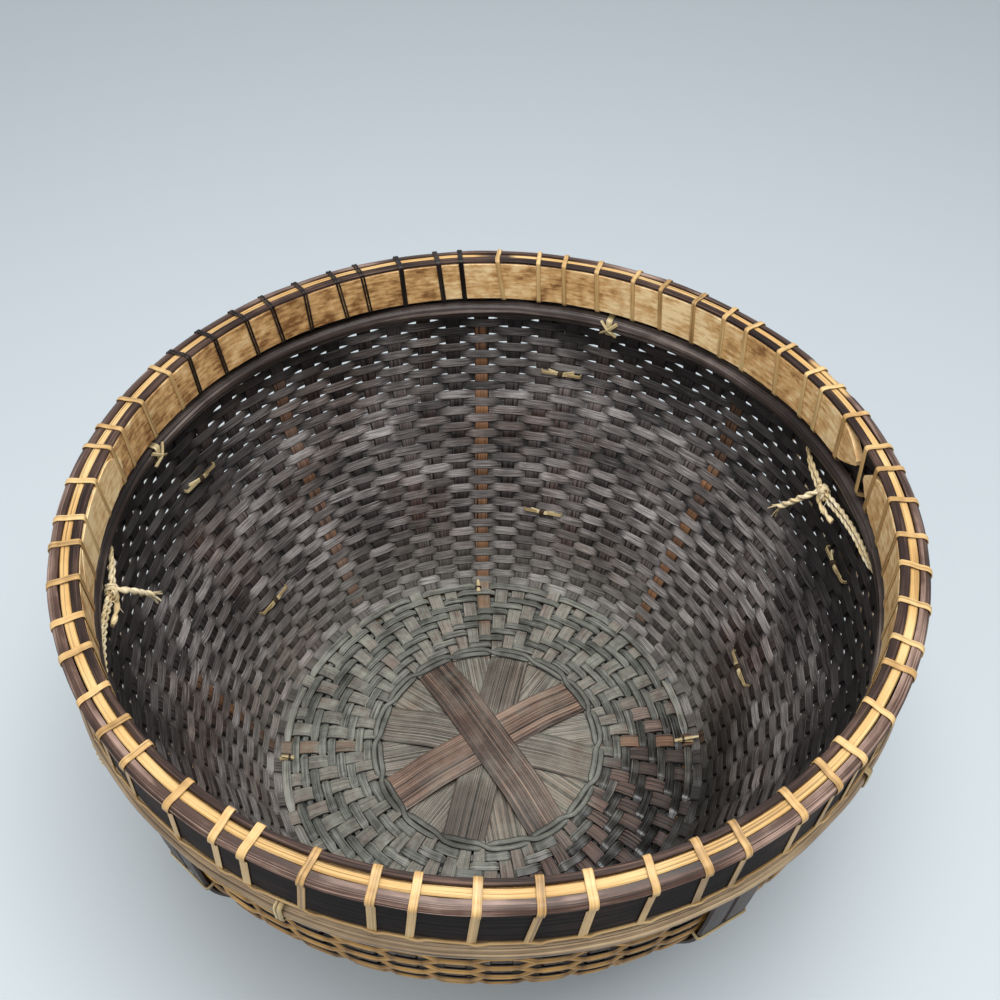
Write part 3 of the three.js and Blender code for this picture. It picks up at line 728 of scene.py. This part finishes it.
# Shades of the splints in one round, which change where one splint ends
def splintShades(seed, middle, spread):
    chooser = random.Random(seed)
    joints = sorted(chooser.uniform(0, 360) for i in range(3))
    shades = [middle + chooser.uniform(-spread, spread) for i in range(3)]
    return lambda az: shades[sum(az % 360 >= joint for joint in joints) % 3]


def layWeft(bm, s, row, over, shade, lean, place, samples):
    bend = fabric["weftBend"][place]
    stakes = fabric["stakes"]
    chooser = random.Random(row * 7 + place)
    wear = [chooser.uniform(-fabric["weftWear"], fabric["weftWear"]) for i in range(stakes)]
    narrow = 1 - 0.06 * ease((onLine(s)[1] - 0.12) / 0.06)
    spots = []
    for order in range(stakes):
        following = (order + 1) % stakes
        here = stakeAngle(order, s)
        there = stakeAngle(order + 1, s)
        fromSide = over(order, row)
        toSide = over(following, row)
        for i in range(samples):
            part = i / samples
            az = blend(here, there, part)
            if fromSide == toSide:
                lift = fromSide * (1 - 0.25 * sin(pi * part))
            else:
                lift = blend(fromSide, toSide, ease((part - 0.26) / 0.48))
            along = s + 0.0002 * roundWander(az, 30, row * 1.7) + 0.0012 * roundWander(az, 8, row * 0.12)
            point, upward, normal = onFabric(along, az, lift * bend)
            size = 1 + (0.06 if place else 0.16) * roundWander(az, 40, row * 2.3)
            tone = shade(az) + 0.12 * roundWander(az, 50, row + 0.5)
            tone += wear[order if part < 0.5 else following]
            if place:
                size *= narrow
                # Painted shade where the weft dives behind a stake
                tone -= 0.32 * ease((0.4 - lift) / 1.2) if lift > -0.95 else 0
            else:
                size *= blend(0.7, 1.1, 0.5 + 0.5 * lift)
            across = upward + normal * (lean + 0.06 * roundWander(az, 60, row * 3.3))
            spots.append((point, across, normal, size, 1, tone, 0))
    layStrip(bm, spots, weftSections[place], closed=True)


# On the base, rounded above for dark crevices between the rounds. On the wall, flat inside and rounded
# outside
baseWidth, wallWidth = fabric["weftWidth"]
thickness = fabric["weftThickness"]
weftSections = (
    scaled([(-0.5, 0), (-0.45, 0.62), (-0.14, 0.8), (0.18, 0.82), (0.46, 0.68), (0.5, 0.2), (0.3, -0.4),
            (-0.3, -0.4)], baseWidth, thickness),
    scaled([(-0.5, 0.2), (-0.45, 0.88), (0, 1), (0.45, 0.88), (0.5, 0.1)], wallWidth, 0.5 * thickness)
    + scaled([(0.36, -0.66), (0, -1), (-0.34, -0.66)], wallWidth, fabric["weftBulge"]))


def makeBaseWefts():
    bm = newMesh()
    for row, s in enumerate(baseRows):
        shade = splintShades(row + 40, 0.75 if s == baseRows[-1] else 0.4, 0.2)
        layWeft(bm, s, row, baseOver, shade, fabric["weftLean"][0], 0, 7)
    finishPiece(bm, "baseWefts", baseWeftLook, "base_weave", "base_weave", sharp=28)


def makeWallWefts(name, rows):
    bm = newMesh()
    for row in rows:
        shade = splintShades(row + 90, 0.48, 0.16)
        lean = fabric["weftLean"][1] * ease(row / 4)
        layWeft(bm, wallRows[row], row, wallOver, shade, lean, 1, 6)
    finishPiece(bm, name, weftLook, "wall_weave", "wall_weave", sharp=28)


# Angle, first and last height and strength of the few stakes that kept their warm colour
warmStakes = [(91.2, 0.0, 0.25, 0.95), (44.8, 0.02, 0.2, 0.8), (134.0, 0.02, 0.2, 0.45),
              (105.0, 0.2, 0.25, 0.3), (182.0, 0.0, 0.1, 0.7), (2.0, 0.0, 0.02, 0.7)]


def warmth(az, s):
    height = onLine(s)[1]
    share = 0.0
    for angle, low, high, strength in warmStakes:
        if abs((az - angle + 180) % 360 - 180) < 2.4 and low <= height <= high:
            share = max(share, strength * (0.65 + 0.5 * wander(s * 60, angle)))
    return clamp(share)


# On the base the stakes nearly touch
def stakeFit(s):
    return min(1, 0.96 * tau * onLine(s)[0] / fabric["stakes"] / fabric["stakeWidth"])


def layStake(bm, index, rows, over, start, stop, bend):
    places = [start]
    for s, following in zip(rows, [*rows[1:], stop]):
        places += evenly(s, following, 3)[:3]
    places = [s for s in places if start <= s <= stop] + [stop]
    tone = 0.45 + random.uniform(-0.25, 0.25)
    spots = []
    for s in places:
        place = 0
        while place < len(rows) - 1 and rows[place + 1] <= s:
            place += 1
        following = min(place + 1, len(rows) - 1)
        span = rows[following] - rows[place]
        part = (s - rows[place]) / span if span else 0
        lift = -blend(over(index, place), over(index, following), ease(part))
        az = stakeAngle(index, s)
        point, along, normal = onFabric(s, az, lift * bend)
        size = 1 + (0.05 if s > cornerPlace else 0.1) * wander(s * 90, index * 1.3)
        shade = tone + 0.15 * wander(s * 40, index)
        spots.append((point, sideways(az), normal, size * stakeFit(s), 1, shade, warmth(az, s)))
    layStrip(bm, spots, flatSection(fabric["stakeWidth"], fabric["stakeThickness"]))


def makeStakes():
    seam = baseRows[-1] + 0.5 * fabric["roundPitch"]
    parts = [("baseStakes", baseStakeLook, "base_weave", baseRows, baseOver, 0.0015, seam + 0.001),
             ("wallStakes", stakeLook, "wall_weave", wallRows, wallOver, seam, lineLengths[-1])]
    for bend, (name, look, node, rows, over, start, stop) in zip(fabric["stakeBend"], parts):
        bm = newMesh()
        for index in range(fabric["stakes"]):
            layStake(bm, index, rows, over, start, stop, bend)
        finishPiece(bm, name, look, node, node)


makeBaseWefts()
half = len(wallRows) // 2
makeWallWefts("wallWeftsLower", range(half))
makeWallWefts("wallWeftsUpper", range(half, len(wallRows)))
makeStakes()
print("weave made:", len(baseRows), "base rounds,", len(wallRows), "wall rounds")


# Crossed strips over the middle of the base, and the ring twined round their ends
strips = {
    "levels": [8, 4, 6, 3, 7, 1, 5, 2], "bare": [0, 0.1, 0.4, 0.1, 0, 0.2, 0.9, 0.35],
    "tones": [0.36, 0.5, 0.42, 0.55, 0.66, 0.5, 0.36, 0.48], "firstAngle": 123.75, "turn": 22.5,
    "width": 0.0272, "thickness": 0.0010, "low": 0.0081, "rise": 0.0012, "flat": 0.037, "reach": 0.0742,
    "ringHeight": 0.0092, "spots": 40,
}


# A wide strip's section, with shallow grooves where it is split
def groovedSection(width, thickness, seed):
    chooser = random.Random(seed)
    top = []
    x = -0.5
    while x < 0.46:
        x += chooser.uniform(0.03, 0.09)
        if x < 0.46:
            depth = chooser.uniform(0.06, 0.22)
            top += [(x - 0.004, 0.5), (x, 0.5 - depth), (x + 0.004, 0.5)]
    return scaled([(-0.5, 0.2), *top, (0.5, 0.2), (0.5, -0.5), (-0.5, -0.5)], width, thickness)


def makeBaseStrips():
    for i, level in enumerate(strips["levels"]):
        az = strips["firstAngle"] + strips["turn"] * i
        top = strips["low"] + strips["rise"] * (level - 1)
        end = strips["ringHeight"] + 0.0002 * (level - 4.5)
        spots = []
        for u in evenly(-strips["reach"], strips["reach"], strips["spots"]):
            slope = ease((abs(u) - strips["flat"]) / (strips["reach"] - strips["flat"]))
            z = blend(top, end, slope) + 0.0002 * wander(u * 40, i)
            across = sideways(az) + up * (0.02 * wander(u * 20, i + 0.5))
            worn = blend(0.3, 1, ease((abs(u) - 0.024) / 0.014))
            bare = strips["bare"][i] * clamp(worn + 1.2 * wander(u * 35, i + 0.2))
            tone = strips["tones"][i] + 0.1 * wander(u * 30, i)
            spots.append((outward(az) * u + up * z, across, up, 1, 1, tone, bare))
        section = groovedSection(strips["width"], strips["thickness"], i + 3)
        look = topStripLook if level > 6 else stripLook
        makeStrip(f"baseStrip{i + 1}", look, "base_strip", f"base_strip_{i + 1}", spots, section, False, 25)


ring = {
    "radius": 0.0752, "swing": 0.0021, "height": 0.0110, "width": 0.0040, "thickness": 0.0012,
    "waves": 8,
    "square": 2.4,  # how sharply a strand crosses over
    "spots": 256,
}


def makeBinding():
    section = roundSection(ring["width"], ring["thickness"], 8)
    for number, turn in ((1, 1), (2, -1)):
        spots = []
        for az in evenly(0, 360, ring["spots"])[:-1]:
            phase = radians(ring["waves"] * az)
            wave = tanh(ring["square"] * sin(phase)) / tanh(ring["square"])
            cross = cos(phase) * (1 - wave * wave)
            r = ring["radius"] + turn * ring["swing"] * wave + 0.0003 * roundWander(az, 20, number)
            z = ring["height"] + 0.0009 * wave * wave + turn * 0.0007 * cross
            tone = 0.4 + 0.2 * roundWander(az, 14, number + 4)
            spots.append((ringPoint(az, r, z), outward(az), up, 1, 1, tone, 0))
        name = f"bindingStrand{number}"
        makeStrip(name, ringLook, "binding_strand", f"binding_strand_{number}", spots, section, sharp=80)


makeBaseStrips()
makeBinding()
print("base made")


# Rim, in metres: radii and heights of each hoop's faces
rim = {
    "innerHoop": (0.2062, 0.2107, 0.2290, 0.2565),
    "outerBand": (0.2168, 0.2203, 0.2280, 0.2522),
    "rimCoreStrip": (0.2113, 0.2157, 0.2503, 0.2575),
    "rimInnerStrip": (0.2062, 0.2110, 0.2568, 0.2588),
    "rimOuterStrip": (0.2163, 0.2218, 0.2525, 0.2580),
    "lowerHoopInner": (0.2059, 0.2115, 0.2120, 0.2235),
    "lowerHoopOuter": (0.2172, 0.2232, 0.2126, 0.2216),
}


def bandSection(inner, outer, low, high, edge):
    half = 0.5 * (high - low)
    deep = 0.5 * (outer - inner)
    cut = min(edge, 0.6 * deep)
    return withOpposite([(-half, -deep + cut), (-half + cut, -deep), (0, -deep), (half - cut, -deep),
                         (half, -deep + cut)])


# Half round, on the inside (-1) or the outside (1)
def rodSection(inner, outer, low, high, side):
    half = 0.5 * (high - low)
    deep = 0.5 * (outer - inner)
    flat = [(half * 0.96, -side * deep), (-half * 0.96, -side * deep)]
    return flat + [(-half * cos(turn), side * deep * (2 * sin(turn) - 1))
                   for turn in evenly(0, pi, 8)]


# The inner strip and hoop are thinner at the front
def slim(az):
    return 0.0015 * ease((-sin(radians(az)) - 0.1) / 0.8)


# A hoop's section is given in height and radius, both from its middle
def rimSpot(key, az, waver, tone, seed, wide=1, thick=1, accent=0):
    inner, outer, low, high = rim[key]
    less = slim(az) if key in ("innerHoop", "rimInnerStrip") else 0
    r = 0.5 * (inner + outer + less) + waver * roundWander(az, 24, seed)
    z = 0.5 * (low + high) + waver * roundWander(az, 20, seed + 5)
    shade = tone + 0.3 * roundWander(az, 9, seed + 9)
    return ringPoint(az, r, z), up, outward(az), wide, thick - less / (outer - inner), shade, accent


innerHoop = {
    "ends": (12.2, 369.2), "tapers": (7, 6), "tip": 0.12, "edge": 0.0006, "waver": 0.0003, "spots": 244,
    "brown": (100, 172), "tones": (0.36, 0.62),  # of the brown stretch and of the rest
    "lap": (171.5, 196), "lapTapers": (4, 5), "lapTips": (0.2, 0.3), "lapWidth": 0.93, "lapSpots": 20,
    "lapRadius": (0.2060, 0.2066), "lapRises": (186, 10), "lapThickness": 0.0008, "lapTone": 0.85,
}


# Smooth shares of the way in from both ends of a stretch, over each one's border
def fromEnds(az, stretch, borders):
    return ease((az - stretch[0]) / borders[0]), ease((stretch[1] - az) / borders[1])


# The hoop's ends are rounded like leaves and nearly meet; a second one overlaps on the left
def makeInnerHoop():
    bm = newMesh()
    first, last = innerHoop["ends"]
    spots = []
    for az in evenly(first, last, innerHoop["spots"]):
        opening, closing = fromEnds(az, innerHoop["ends"], innerHoop["tapers"])
        wide = blend(innerHoop["tip"], 1, sqrt(min(opening, closing)))
        tone = innerHoop["tones"][0 if innerHoop["brown"][0] < az < innerHoop["brown"][1] else 1]
        spots.append(rimSpot("innerHoop", az, innerHoop["waver"], tone, 2, wide))
    layStrip(bm, spots, bandSection(*rim["innerHoop"], innerHoop["edge"]))
    first, last = innerHoop["lap"]
    tips = innerHoop["lapTips"]
    full = innerHoop["lapWidth"]
    rise, over = innerHoop["lapRises"]
    low, high = rim["innerHoop"][2:]
    lap = []
    for az in evenly(first, last, innerHoop["lapSpots"]):
        opening, closing = fromEnds(az, innerHoop["lap"], innerHoop["lapTapers"])
        wide = min(blend(tips[0], full, sqrt(opening)), blend(tips[1], full, closing))
        place = ringPoint(az, blend(*innerHoop["lapRadius"], ease((az - rise) / over)), 0.5 * (low + high))
        lap.append((place, up, outward(az), wide, 1, innerHoop["lapTone"], 0))
    layStrip(bm, lap, bandSection(0, innerHoop["lapThickness"], low, high, 0.5 * innerHoop["edge"]))
    finishPiece(bm, "innerHoop", tanHoopLook, "tan_hoop", "inner_hoop")


# Stretches that have lost their skin, and their borders
bareStretches = {"rimOuterStrip": ((22, 32), (1.5, 1.5)), "rimCoreStrip": ((87, 93.5), (0.8, 0.8))}


def bareness(name, az):
    opening, closing = fromEnds(az, *bareStretches[name]) if name in bareStretches else (0, 0)
    return opening * closing


# The outer strip shows short pale segments where it is bare
def makeOuterStrip():
    spots = []
    for az in range(360):
        segment = az % 2
        bare = bareness("rimOuterStrip", az)
        size = 1 - bare * (0.1 + 0.12 * segment)
        tone = 0.5 + 0.2 * bare * segment
        spots.append(rimSpot("rimOuterStrip", az, 0.0004, tone, 6, size, size, bare))
    section = rodSection(*rim["rimOuterStrip"], 1)
    makeStrip("rimOuterStrip", brownLook, "brown_strip", "rim_outer_strip", spots, section)


# Piece, node, slot, look, section with its edge or side, waver, tone and seed
plainHoops = [
    ("outerBand", "outer_band", "black_band", blackBandLook, bandSection, 0.0004, 0.0003, 0.4, 3),
    ("rimCoreStrip", "rim_core_strip", "pale_strip", paleLook, bandSection, 0.0005, 0.0004, 0.6, 4),
    ("rimInnerStrip", "rim_inner_strip", "dark_strip", darkStripLook, bandSection, 0.0004, 0.0003, 0.5, 5),
    ("lowerHoopInner", "lower_hoop_inner", "dark_hoop", darkHoopLook, rodSection, -1, 0.0005, 0.45, 7),
    ("lowerHoopOuter", "lower_hoop_outer", "dark_hoop", outerHoopLook, rodSection, 1, 0.0005, 0.5, 8),
]


def makePlainHoops():
    for name, node, slot, look, section, shape, waver, tone, seed in plainHoops:
        spots = []
        for az in evenly(0, 360, 240)[:-1]:
            spots.append(rimSpot(name, az, waver, tone, seed, accent=bareness(name, az)))
        makeStrip(name, look, slot, node, spots, section(*rim[name], shape))


makeInnerHoop()
makeOuterStrip()
makePlainHoops()
print("rim made")


# Flat splints bent into closed loops: the lashing and the ties
def roundedLoop(corners, radius):
    path = []
    for i, corner in enumerate(corners):
        before = corners[i - 1] - corner
        after = corners[(i + 1) % len(corners)] - corner
        cut = min(radius, 0.45 * before.length, 0.45 * after.length)
        start = corner + before.normalized() * cut
        end = corner + after.normalized() * cut
        for t in evenly(0, 1, 3):
            path.append(start * (1 - t) ** 2 + corner * (2 * t * (1 - t)) + end * t * t)
    return path


def layLoop(bm, path, across, section, tone, waver=0.2, accent=0):
    spots = []
    for i, point in enumerate(path):
        tangent = (path[(i + 1) % len(path)] - path[i - 1]).normalized()
        shade = tone + waver * wander(i * 0.4, tone * 17)
        spots.append((point, across, tangent.cross(across).normalized(), 1, 1, shade, accent))
    layStrip(bm, spots, section, closed=True)


lashing = {
    "count": 60, "width": 0.0031, "splitWidth": 0.0013, "splitShift": 0.0009, "thickness": 0.0006,
    "lean": 0.10, "leanVaries": 0.06, "twist": 0.0012, "radius": 0.214, "darkFrom": 94, "darkTo": 152,
    "frontWidth": (0.9, 1.25),  # at the back and at the front
    "splitFrom": 109,  # from here on, two narrow splints lie side by side
    "outline": [
        (0.2057, 0.2284), (0.2110, 0.2260), (0.2208, 0.2254), (0.22075, 0.2513), (0.2222, 0.2535),
        (0.2221, 0.2567), (0.2196, 0.2585), (0.2155, 0.25835), (0.2106, 0.25925), (0.2066, 0.25925),
        (0.2058, 0.2583)],
    "top": 0.2592, "bend": 0.0019, "stitch": (0.2207, 0.2266), "stitchSize": (0.0022, 0.0012),
}


def lashingAngle(index):
    step = 360 / lashing["count"]
    return step * (index + 0.13 * sin(2.1 * index) + 0.07 * sin(4.7 * index + 1))


def layLashing(bm, index, width, beside=0.0):
    az = lashingAngle(index) + degrees(beside / lashing["radius"])
    chooser = random.Random(index)
    lean = lashing["lean"] + chooser.uniform(-lashing["leanVaries"], lashing["leanVaries"])
    twist = chooser.uniform(-lashing["twist"], lashing["twist"])
    corners = []
    for r, z in lashing["outline"]:
        outside = ease((r - 0.208) / 0.012)
        r += 0.9 * slim(az) * ease((0.2095 - r) / 0.002)
        shift = -lean * (lashing["top"] - z) + twist * outside
        corners.append(ringPoint(az, r, z) + sideways(az) * shift)
    front = 0.5 - 0.5 * sin(radians(az))
    section = flatSection(width * blend(*lashing["frontWidth"], front), lashing["thickness"])
    layLoop(bm, roundedLoop(corners, lashing["bend"]), sideways(az), section, random.uniform(0.35, 0.75))


def layStitch(bm, first, last):
    turns = [lashingAngle(k) + turn for k in range(lashing["count"]) for turn in (-360, 0, 360)]
    radius, height = lashing["stitch"]
    spots = []
    for az in evenly(first, last, round((last - first) / 0.75)):
        near = min(abs(az - turn) for turn in turns)
        r = radius + 0.0008 * ease(1 - near / 1.2) + 0.0002 * roundWander(az, 30, 4)
        z = height + 0.0005 * roundWander(az, 30, 7)
        spots.append((ringPoint(az, r, z), up, outward(az), 1, 1, 0.5 + 0.3 * roundWander(az, 30, 2), 0))
    layStrip(bm, spots, roundSection(*lashing["stitchSize"], 6))


def makeLashings():
    tan = newMesh()
    dark = newMesh()
    for index in range(lashing["count"]):
        az = lashingAngle(index)
        if not lashing["darkFrom"] < az < lashing["darkTo"]:
            layLashing(tan, index, lashing["width"] * random.uniform(0.9, 1.1))
        elif az < lashing["splitFrom"]:
            layLashing(dark, index, 1.15 * lashing["width"])
        else:
            for side in (-1, 1):
                layLashing(dark, index, lashing["splitWidth"], side * lashing["splitShift"])
    layStitch(dark, lashing["darkFrom"], lashing["darkTo"])
    layStitch(tan, lashing["darkTo"] + 0.8, lashing["darkFrom"] + 359.2)
    finishPiece(tan, "lashingTan", tanLook, "tan_lashing", "lashing_tan")
    finishPiece(dark, "lashingDark", darkSplintLook, "dark_lashing", "lashing_dark")


makeLashings()
print("lashing made")


hoopTies = {
    "angles": [69, 162.2, 248, 322],
    "outline": [(0.2054, 0.2116), (0.2236, 0.2116), (0.2236, 0.2239), (0.2054, 0.2239)], "bend": 0.002,
    "width": 0.0042, "thickness": 0.0009, "tone": 0.55, "cross": (0.2043, 0.2177), "crossWidth": 0.0026,
    "crossLean": 0.75, "crossBulge": 0.0011,
    "crossPath": [(-0.0075, -1), (-0.003, 0.4), (0, 1), (0.003, 0.4), (0.0075, -1)],  # along and out
}


def layTie(bm, az, tie):
    corners = [ringPoint(az, r, z) for r, z in tie["outline"]]
    section = flatSection(tie["width"], tie["thickness"])
    layLoop(bm, roundedLoop(corners, tie["bend"]), sideways(az), section, tie["tone"])


def makeHoopTies():
    for i, az in enumerate(hoopTies["angles"], 1):
        bm = newMesh()
        layTie(bm, az, hoopTies)
        middle = ringPoint(az, *hoopTies["cross"])
        bulge = outward(az) * -hoopTies["crossBulge"]
        for turn in (1, -1):
            lean = turn * hoopTies["crossLean"]
            along = sideways(az) * cos(lean) + up * sin(lean)
            points = [middle + along * place + bulge * height for place, height in hoopTies["crossPath"]]
            fibre(bm, points[::-1], hoopTies["crossWidth"], 0.6)
            fibre(bm, points, hoopTies["crossWidth"], 0.5)
        finishPiece(bm, f"hoopTie{i}", tieLook, "tie", f"hoop_tie_{i}")


ribs = {
    "angles": [9.3, 77.5, 153.5, 230, 301], "width": 0.0124, "thickness": 0.0021, "spacing": 0.0144,
    "lift": -0.0041,  # from the fabric's middle to the slat's middle
    "top": 0.2118, "bottom": 0.0135, "spots": 60,
    "outline": [(-0.5, -0.2), (-0.46, 0.4), (-0.3, 0.5), (0.3, 0.5), (0.46, 0.4), (0.5, -0.2), (0.47, -0.5),
                (-0.47, -0.5)],
}


def makeRibs():
    first = distanceAt(height=ribs["bottom"])
    last = distanceAt(height=ribs["top"])
    section = scaled(ribs["outline"], ribs["width"], ribs["thickness"])
    for i, az in enumerate(ribs["angles"]):
        for letter, side in (("a", -1), ("b", 1)):
            spots = []
            tone = random.uniform(0.35, 0.6)
            for s in evenly(first, last, ribs["spots"]):
                point, along, normal = onFabric(s, az, ribs["lift"])
                shift = 0.5 * ribs["spacing"] * side + 0.0003 * wander(s * 30, i, side)
                wide = 1 + 0.03 * wander(s * 25, i + side)
                shade = tone + 0.1 * wander(s * 20, i)
                spots.append((point + sideways(az) * shift, sideways(az), -normal, wide, 1, shade, 0))
            name = f"rib{i + 1}Slat{letter.upper()}"
            makeStrip(name, ribLook, "rib", f"rib_{i + 1}_slat_{letter}", spots, section, False)


ribTies = {
    "heights": [0.167, 0.066],
    "outline": [(-0.0140, 0.0038), (-0.0140, -0.0056), (0.0140, -0.0056), (0.0140, 0.0038)],
    "bend": 0.0016, "width": 0.0024, "thickness": 0.0009,
    "toggle": (0.0032, 0.019),  # lift and length
}
toggle = {
    "lean": 0.25, "share": (0.8, 1.1), "places": (0.05, 0.4, 0.75, 1.0), "lift": 0.0010, "droop": 0.0022,
    "width": 0.0030, "windings": (-0.0011, 0.0001, 0.0012), "windingWidth": 0.0013,
    "windingSize": (0.0021, 0.0006, 0.0014),  # across, along and out
}


# Two pale slivers that meet at a small dark knot, which holds a tie inside the basket
def layToggle(bm, middle, along, face, length):
    across = along.cross(face)
    for turn in (-1, 1):
        lean = random.uniform(-toggle["lean"], toggle["lean"])
        reach = 0.5 * length * random.uniform(*toggle["share"])
        heading = along * cos(lean) + across * sin(lean)
        points = [middle + heading * (turn * reach * u) + face * (toggle["lift"] - toggle["droop"] * u * u)
                  for u in toggle["places"]]
        laySliver(bm, points, face, toggle["width"])
    wide, long, high = toggle["windingSize"]
    for shift in toggle["windings"]:
        centre = middle + along * shift + face * (0.5 * high)
        winding = oval(centre, across * wide, along * long + face * high, 14)
        layRound(bm, winding, along, toggle["windingWidth"], 0.25)


def oval(middle, first, second, count):
    return [middle + first * cos(turn) + second * sin(turn) for turn in circle(count)]


def laySliver(bm, points, face, width):
    path = smoothPath(points, 0.0012)
    last = len(path) - 1
    spots = []
    for i, point in enumerate(path):
        tangent = (path[min(i + 1, last)] - path[max(i - 1, 0)]).normalized()
        size = 1 - 0.35 * (i / last) ** 3
        shade = 0.75 + 0.2 * wander(i * 0.5)
        spots.append((point, tangent.cross(face).normalized(), face, size, size, shade, 0))
    layStrip(bm, spots, flatSection(width, 0.0012))


def layRound(bm, path, across, width, tone):
    layLoop(bm, path, across, roundSection(width, 0.8 * width, 6), tone, 0, 1)


def makeRibTies():
    section = flatSection(ribTies["width"], ribTies["thickness"])
    lift, length = ribTies["toggle"]
    places = [(az, height) for az in ribs["angles"] for height in ribTies["heights"]]
    for i, (az, height) in enumerate(places, 1):
        bm = newMesh()
        point, along, normal = onFabric(distanceAt(height=height), az)
        side = sideways(az)
        corners = [point + side * x + normal * y for x, y in ribTies["outline"]]
        layLoop(bm, roundedLoop(corners, ribTies["bend"]), along, section, 0.5)
        layToggle(bm, point + normal * lift, side, normal, length)
        finishPiece(bm, f"ribTie{i}", tieLook, "tie", f"rib_tie_{i}")


foot = {"radius": 0.1355, "width": 0.008, "height": 0.0069, "gap": 0.00002, "spots": 180}
footTies = {
    "outline": [(0.1310, 0.0008), (0.1402, 0.0008), (0.1402, 0.0129), (0.1310, 0.0129)], "bend": 0.0012,
    "width": 0.003, "thickness": 0.0008, "tone": 0.6, "knot": (0.1335, 0.0136),
    "knotSize": (0.0019, 0.0012), "knotWidth": 0.0016, "sliverWidth": 0.0024,
    "slivers": [(2, 0.0165), (94.6, 0.009), (187, 0.008), (278, 0.010)],  # angle and length
}


def makeFoot():
    half, deep = 0.5 * foot["height"], 0.5 * foot["width"]
    outside = [(-half, deep - 0.0016), (-half + 0.0012, deep - 0.0003), (0, deep),
               (half - 0.0012, deep - 0.0004), (half, deep - 0.002)]
    inside = [(a, -b) for a, b in reversed(outside)]
    spots = []
    for az in evenly(0, 360, foot["spots"])[:-1]:
        place = ringPoint(az, foot["radius"], half + foot["gap"])
        spots.append((place, up, outward(az), 1, 1, 0.5 + 0.3 * roundWander(az, 9, 18), 0))
    makeStrip("footHoop", footLook, "foot_hoop", "foot_hoop", spots, inside[-1:] + outside + inside[:-1])


def makeFootTies():
    for i, (az, reach) in enumerate(footTies["slivers"], 1):
        bm = newMesh()
        layTie(bm, az, footTies)
        start = ringPoint(az, *footTies["knot"])
        along = outward(az) + up * 0.3
        points = [start - along * (0.35 * reach), start + up * 0.0006,
                  start + along * (0.6 * reach) + up * 0.001]
        laySliver(bm, points, up, footTies["sliverWidth"])
        wide, high = footTies["knotSize"]
        winding = oval(start, sideways(az) * wide, up * high, 12)
        layRound(bm, winding, outward(az), footTies["knotWidth"], 0.2)
        finishPiece(bm, f"footTie{i}", tieLook, "tie", f"foot_tie_{i}")


makeHoopTies()
makeRibs()
makeRibTies()
makeFoot()
makeFootTies()
print("hoops, ribs and ties made")


# Floor and light; a lamp has a name, a power, a size and a place
studio = {
    "floor": "bcc4c8", "floorReach": 4, "sky": (0.93, 0.96, 1.0, 1), "skyPower": 0.68,
    "lamps": [("key", 17.0, 0.7, (0.08, -0.2, 1.36)), ("fill", 4.5, 1.2, (-0.6, -0.9, 1.1))],
    "aim": (0, 0, 0.15),
}


def makeFloor():
    bm = bmesh.new()
    bmesh.ops.create_grid(bm, x_segments=1, y_segments=1, size=studio["floorReach"])
    material = Shader("paleFloor").surface({"Base Color": (*paint(studio["floor"]), 1), "Roughness": 0.9})
    floor = putMesh(bm, "floor", material)


def makeLight():
    world = bpy.data.worlds.new("studio")
    world.use_nodes = True
    background = world.node_tree.nodes["Background"]
    background.inputs[0].default_value = studio["sky"]
    background.inputs[1].default_value = studio["skyPower"]
    bpy.context.scene.world = world
    for name, power, size, place in studio["lamps"]:
        data = bpy.data.lights.new(name, "AREA")
        data.energy = power
        data.size = size
        lamp = putInScene(name, data)
        heading = Vector(studio["aim"]) - Vector(place)
        turned = heading.to_track_quat("-Z", "Y").to_matrix().to_4x4()
        lamp.matrix_world = Matrix.Translation(place) @ turned
    bpy.context.scene.view_settings.view_transform = "Standard"


makeFloor()
makeLight()
print("studio ready")
